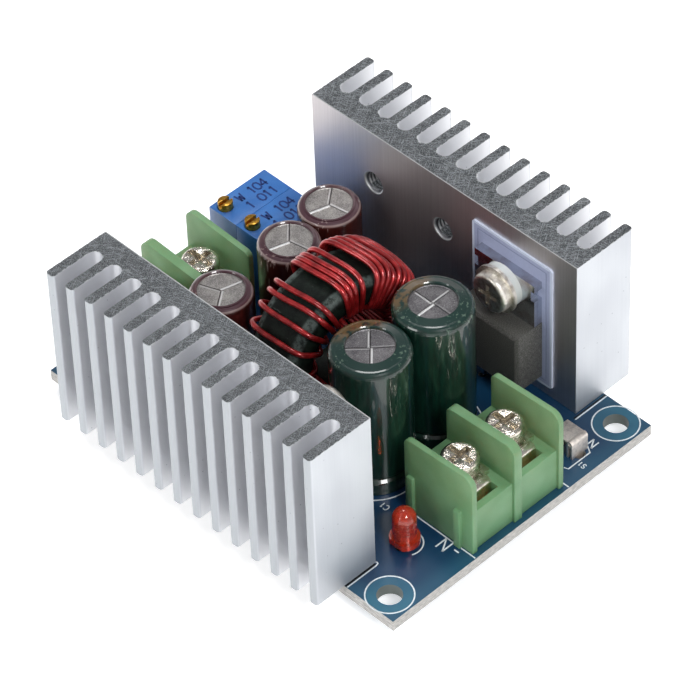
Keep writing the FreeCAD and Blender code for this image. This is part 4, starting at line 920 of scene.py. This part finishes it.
def winding():
    """One wire wound round the ring core's section.

    Each turn is a rounded oblong in a plane through the core's axis. Going round it, the distance
    from its middle is the p-norm distance to an oblong, (cos^p + sin^p)^(-1/p) with p of 4.3, which
    makes the sides bow and the corners round. The plane swings from the far angle to the near one
    along the outer run, and on to the next turn's far angle inside the bore. A straight leg leads
    from each end of the wire down to the board.
    """
    far, near, slack, reach = np.array(TURNS, float).T[:, :, None]
    share = np.arange(TURN_STEPS) / TURN_STEPS
    phase = 2 * np.pi * share - np.pi
    cos, sin = np.cos(phase), np.sin(phase)
    oblong = (np.abs(cos) ** TURN_POWER + np.abs(sin) ** TURN_POWER) ** (-1 / TURN_POWER)
    half_deep = ((CORE_RADIUS - CORE_BORE) / 2 + WIRE_RADIUS
                 + slack * np.clip(cos, 0, 1) ** 0.5)
    half_long = CORE_LONG / 2 + WIRE_RADIUS + np.where(sin > 0, reach, FAR_REACH)
    following = np.append(far[1:], near[-1:], axis=0)
    angle = np.radians(far + (near - far) * smooth_step(share, *OUTER_SWING)
                       + (following - near) * smooth_step(share, *BORE_SWING))
    away = (CORE_RADIUS + CORE_BORE) / 2 + half_deep * oblong * cos
    along = -half_long * oblong * sin
    coil = np.stack([away * np.cos(angle), along, away * np.sin(angle)], axis=-1).reshape(-1, 3)
    coil_angle = angle.reshape(-1)
    middle = middle_mm("inductor_core")
    floor = float(box_mm("inductor_winding")[0][2]) - middle[2]
    drop = np.linspace(0, 1, LEG_STEPS)[1:, None]
    legs = [end * (1 - drop) + (end * (1, 1, 0) + (0, 0, floor)) * drop
            for end in (coil[0], coil[-1])]
    path = np.concatenate([legs[0][::-1], coil, legs[1]])
    swept = np.concatenate([np.full(len(drop), coil_angle[0]), coil_angle,
                            np.full(len(drop), coil_angle[-1])])
    across = np.stack([-np.sin(swept), np.zeros_like(swept), np.cos(swept)], axis=1)
    cos, sin = math.cos(COIL_TURN), math.sin(COIL_TURN)
    spin = np.array([[cos, sin, 0], [-sin, cos, 0], [0, 0, 1]])
    rings = tube_rings(path, across, WIRE_RADIUS, WIRE_SIDES) @ spin + middle
    mesh_piece("wound_wire", Shape().tube(rings), enamel_finish(), "inductor_winding",
               ("inductor_winding",), sharp=SHARP_WIRE)


winding()


# Print on the board's top: the usual stroke, how far it is off the board, and its rings and the
# arc round the lens as radius, steps and, for the arc, its two angles
PRINT_STROKE = 0.17
PRINT_LIFT = 0.002
HOLE_RING = (2.95, 72)
CAPACITOR_RING = (5.75, 96)
LENS_ARC = (2.1, 60, -115, 60)
# Open lines, as corner points: at the two sinks' front ends, by a capacitor and round the link
RIGHT_SINK_LINE = [(16.5, -22.7), (22.1, -22.7)]
LEFT_SINK_LINE = [(-22.1, -22.28), (-17.3, -22.28), (-16.92, -22.18), (-16.84, -21.98),
                  (-16.96, -21.78), (-17.3, -21.7), (-22.1, -21.7)]
CAPACITOR_LINE = [(-9.73, -17.73), (-8.8, -17.65)]
LINK_LINE = [(9.7, -27.24), (9.9, -27.8), (13.7, -27.8), (14.25, -26.9), (14.25, -23.4)]
# The lines along the input terminal's sides, by their x, and how far they stay from the edge
TERMINAL_LINES = (-8.32, 7.75)
EDGE_GAP = 0.1
# Words, where they start, which way they read and stand, and their size, stroke and spacing
BOARD_WORDS = (
    ("C1", (-9.45, -16.75), (0, 1), (-1, 0), 0.8, 0.13, 0.85),
    ("S1", (11.85, -29.05), (0, 1), (-1, 0), 0.7, 0.13, 0.85),
    ("N-", (-10.25, -25.2), (0, -1), (1, 0), 1.85, 0.2, 0.95),
    ("N", (14.3, -26.6), (0, -1), (1, 0), 1.35, 0.18, 0.85),
)
# Painted shadow: dark strips along the sinks' lines, where the gap under each sink's front end is
# in shade, as their ends and width
SHADOW_STRIPS = (
    ([(-22.15, -21.99), (-17.2, -21.99)], 0.3),
    ([(16.5, -22.45), (22.1, -22.45)], 0.22),
)


def board_print():
    """Pale rings, outlines and marks on the board, and dark strips of painted shadow beside two
    outlines.
    """
    shape = Shape()
    level = BOARD_TOP + PRINT_LIFT
    hole_x = BOARD_HIGH[0] - HOLE_INSET_X
    hole_y = BOARD_HIGH[1] - HOLE_INSET_Y

    def ring(centre, radius, steps):
        stroke_slab(shape, arc_points(centre, radius, steps), PRINT_STROKE, level, closed=True)

    def line(points):
        stroke_slab(shape, points, PRINT_STROKE, level)

    for sign_x in (-1, 1):
        for sign_y in (-1, 1):
            ring((sign_x * hole_x, sign_y * hole_y), *HOLE_RING)
    line(RIGHT_SINK_LINE)
    line(LEFT_SINK_LINE)
    for number in (1, 2):
        ring(middle_mm("input_capacitor_%d_sleeve" % number)[:2], *CAPACITOR_RING)
    line(arc_points(middle_mm("led_lens")[:2], *LENS_ARC))
    line(CAPACITOR_LINE)
    terminal_back = box_mm("input_terminal_housing")[1][1]
    for side in TERMINAL_LINES:
        line([(side, terminal_back), (side, BOARD_LOW[1] + EDGE_GAP)])
    line(LINK_LINE)
    for words, start, reading, tops, size, stroke, spacing in BOARD_WORDS:
        lettering(shape, words, start, reading, tops, size, stroke, level, spacing)
    mesh_piece("board_print", shape, SILK, "circuit_board")
    shadow_strips = Shape()
    for ends, width in SHADOW_STRIPS:
        stroke_slab(shadow_strips, ends, width, level)
    mesh_piece("board_shadow_strips", shadow_strips, SHADOW_STRIP, "circuit_board")


board_print()


# Print on a trimmer's top: each word's distance from the near side, then where both start, and
# their size, stroke and spacing
TRIMMER_WORDS = (("W 104", 2.55), ("1 011", 0.65))
TRIMMER_START = 3.4
TRIMMER_LETTER = (1.4, 0.24)
TRIMMER_SPACING = 0.7


def trimmer_print():
    """Plain digits on each trimmer's top, read along +X."""
    for number in (1, 2):
        low, high = box_mm("trimmer_%d_body" % number)
        shape = Shape()
        level = float(high[2]) + PRINT_LIFT / 2
        for words, aside in TRIMMER_WORDS:
            lettering(shape, words, (low[0] + TRIMMER_START, low[1] + aside), (1, 0), (0, 1),
                      *TRIMMER_LETTER, level, TRIMMER_SPACING)
        mesh_piece("trimmer_%d_print" % number, shape, INK, "trimmer_%d_body" % number)


trimmer_print()


# Stage, lamps and camera
def studio():
    """A white table that keeps the part's shadow, under a sky white low down and grey above."""
    paint = Paint("white_table")
    rays = paint.node("ShaderNodeLightPath")
    seen = rays["Is Camera Ray"].most(rays["Is Glossy Ray"]).most(rays["Is Transmission Ray"])
    table = paint.node("ShaderNodeBsdfDiffuse", None, {"Color": TABLE_WHITE})["BSDF"]
    glow = paint.node("ShaderNodeEmission", None, {"Strength": TABLE_GLOW})["Emission"]
    lifted = paint.node("ShaderNodeAddShader", None, {0: table, 1: glow})[0]
    mixed = paint.node("ShaderNodeMixShader", None, {0: seen, 1: table, 2: lifted})[0]
    paint.node("ShaderNodeOutputMaterial", None, {"Surface": mixed})
    height = float(cad_bounds[0][2])
    mesh = bpy.data.meshes.new("table")
    mesh.from_pydata([(-TABLE_HALF, -TABLE_HALF, height), (TABLE_HALF, -TABLE_HALF, height),
                      (TABLE_HALF, TABLE_HALF, height), (-TABLE_HALF, TABLE_HALF, height)], [],
                     [(0, 1, 2, 3)])
    mesh.materials.append(paint.made)
    table_top = bpy.data.objects.new("table", mesh)
    bpy.context.scene.collection.objects.link(table_top)

    sky = Paint("studio_sky", bpy.data.worlds)
    direction = sky.node("ShaderNodeTexCoord")["Generated"]
    upward = sky.node("ShaderNodeSeparateXYZ", None, {0: direction})["Z"]
    colour = sky.mix(upward.rising(*SKY_TURNS), WHITE, SKY_GREY)
    shine = sky.node("ShaderNodeBackground", None, {"Color": colour, "Strength": 1.0})[0]
    sky.node("ShaderNodeOutputWorld", None, {"Surface": shine})
    bpy.context.scene.world = sky.made


# Lamps, all aimed at one point: name, place in metres, size, watts and whether gloss mirrors them
LAMP_AIM = (0, 0, 0.01)
LAMPS = (
    ("key", (-0.15, -0.55, 0.6), 0.22, 3.2, True),
    ("left", (-0.65, 0.1, 0.35), 0.3, 1.6, True),
    ("top", (0.1, 0.2, 0.8), 0.5, 2.0, False),
    ("back", (0.213, 0.229, 0.736), 0.18, 0.9, True),
)


def lamp(name, place, size, power, mirrored):
    """A square soft lamp, turned to the part."""
    light = bpy.data.lights.new(name, "AREA")
    light.shape = "SQUARE"
    light.size = size
    light.energy = power
    holder = bpy.data.objects.new(name, light)
    holder.location = place
    toward = Vector(LAMP_AIM) - Vector(place)
    holder.rotation_euler = toward.to_track_quat("-Z", "Y").to_euler()
    holder.visible_glossy = mirrored
    bpy.context.scene.collection.objects.link(holder)


# Camera, solved from the photograph's perspective: its width and focal length and the picture's
# centre in pixels, the directions of its picture, and its place in millimetres
PICTURE_WIDTH = 700
FOCAL_LENGTH = 4584.7
PICTURE_CENTRE = (352.2, 356.8)
CAMERA_RIGHT = (0.7118, -0.7018, -0.0283)
CAMERA_DOWN = (-0.5109, -0.4896, -0.7065)
CAMERA_FORWARD = (0.4820, 0.5174, -0.7071)
CAMERA_PLACE = (-268.31, -288.99, 402.94)
SENSOR_WIDTH = 36.0
CLIP_NEAR, CLIP_FAR = 0.01, 20


def camera():
    """The photograph's camera, with the lens and shift that its picture has."""
    lens = bpy.data.cameras.new("camera")
    lens.sensor_width = SENSOR_WIDTH
    lens.lens = FOCAL_LENGTH / PICTURE_WIDTH * SENSOR_WIDTH
    lens.shift_x = (PICTURE_WIDTH / 2 - PICTURE_CENTRE[0]) / PICTURE_WIDTH
    lens.shift_y = (PICTURE_CENTRE[1] - PICTURE_WIDTH / 2) / PICTURE_WIDTH
    lens.clip_start = CLIP_NEAR
    lens.clip_end = CLIP_FAR
    holder = bpy.data.objects.new("camera", lens)
    columns = (Vector(CAMERA_RIGHT), -Vector(CAMERA_DOWN), -Vector(CAMERA_FORWARD))
    turn = Matrix(columns).transposed()
    holder.matrix_world = Matrix.Translation(Vector(CAMERA_PLACE) * MM) @ turn.to_4x4()
    bpy.context.scene.collection.objects.link(holder)
    bpy.context.scene.camera = holder


studio()
for settings in LAMPS:
    lamp(*settings)
camera()
bpy.context.scene.view_settings.view_transform = "Standard"
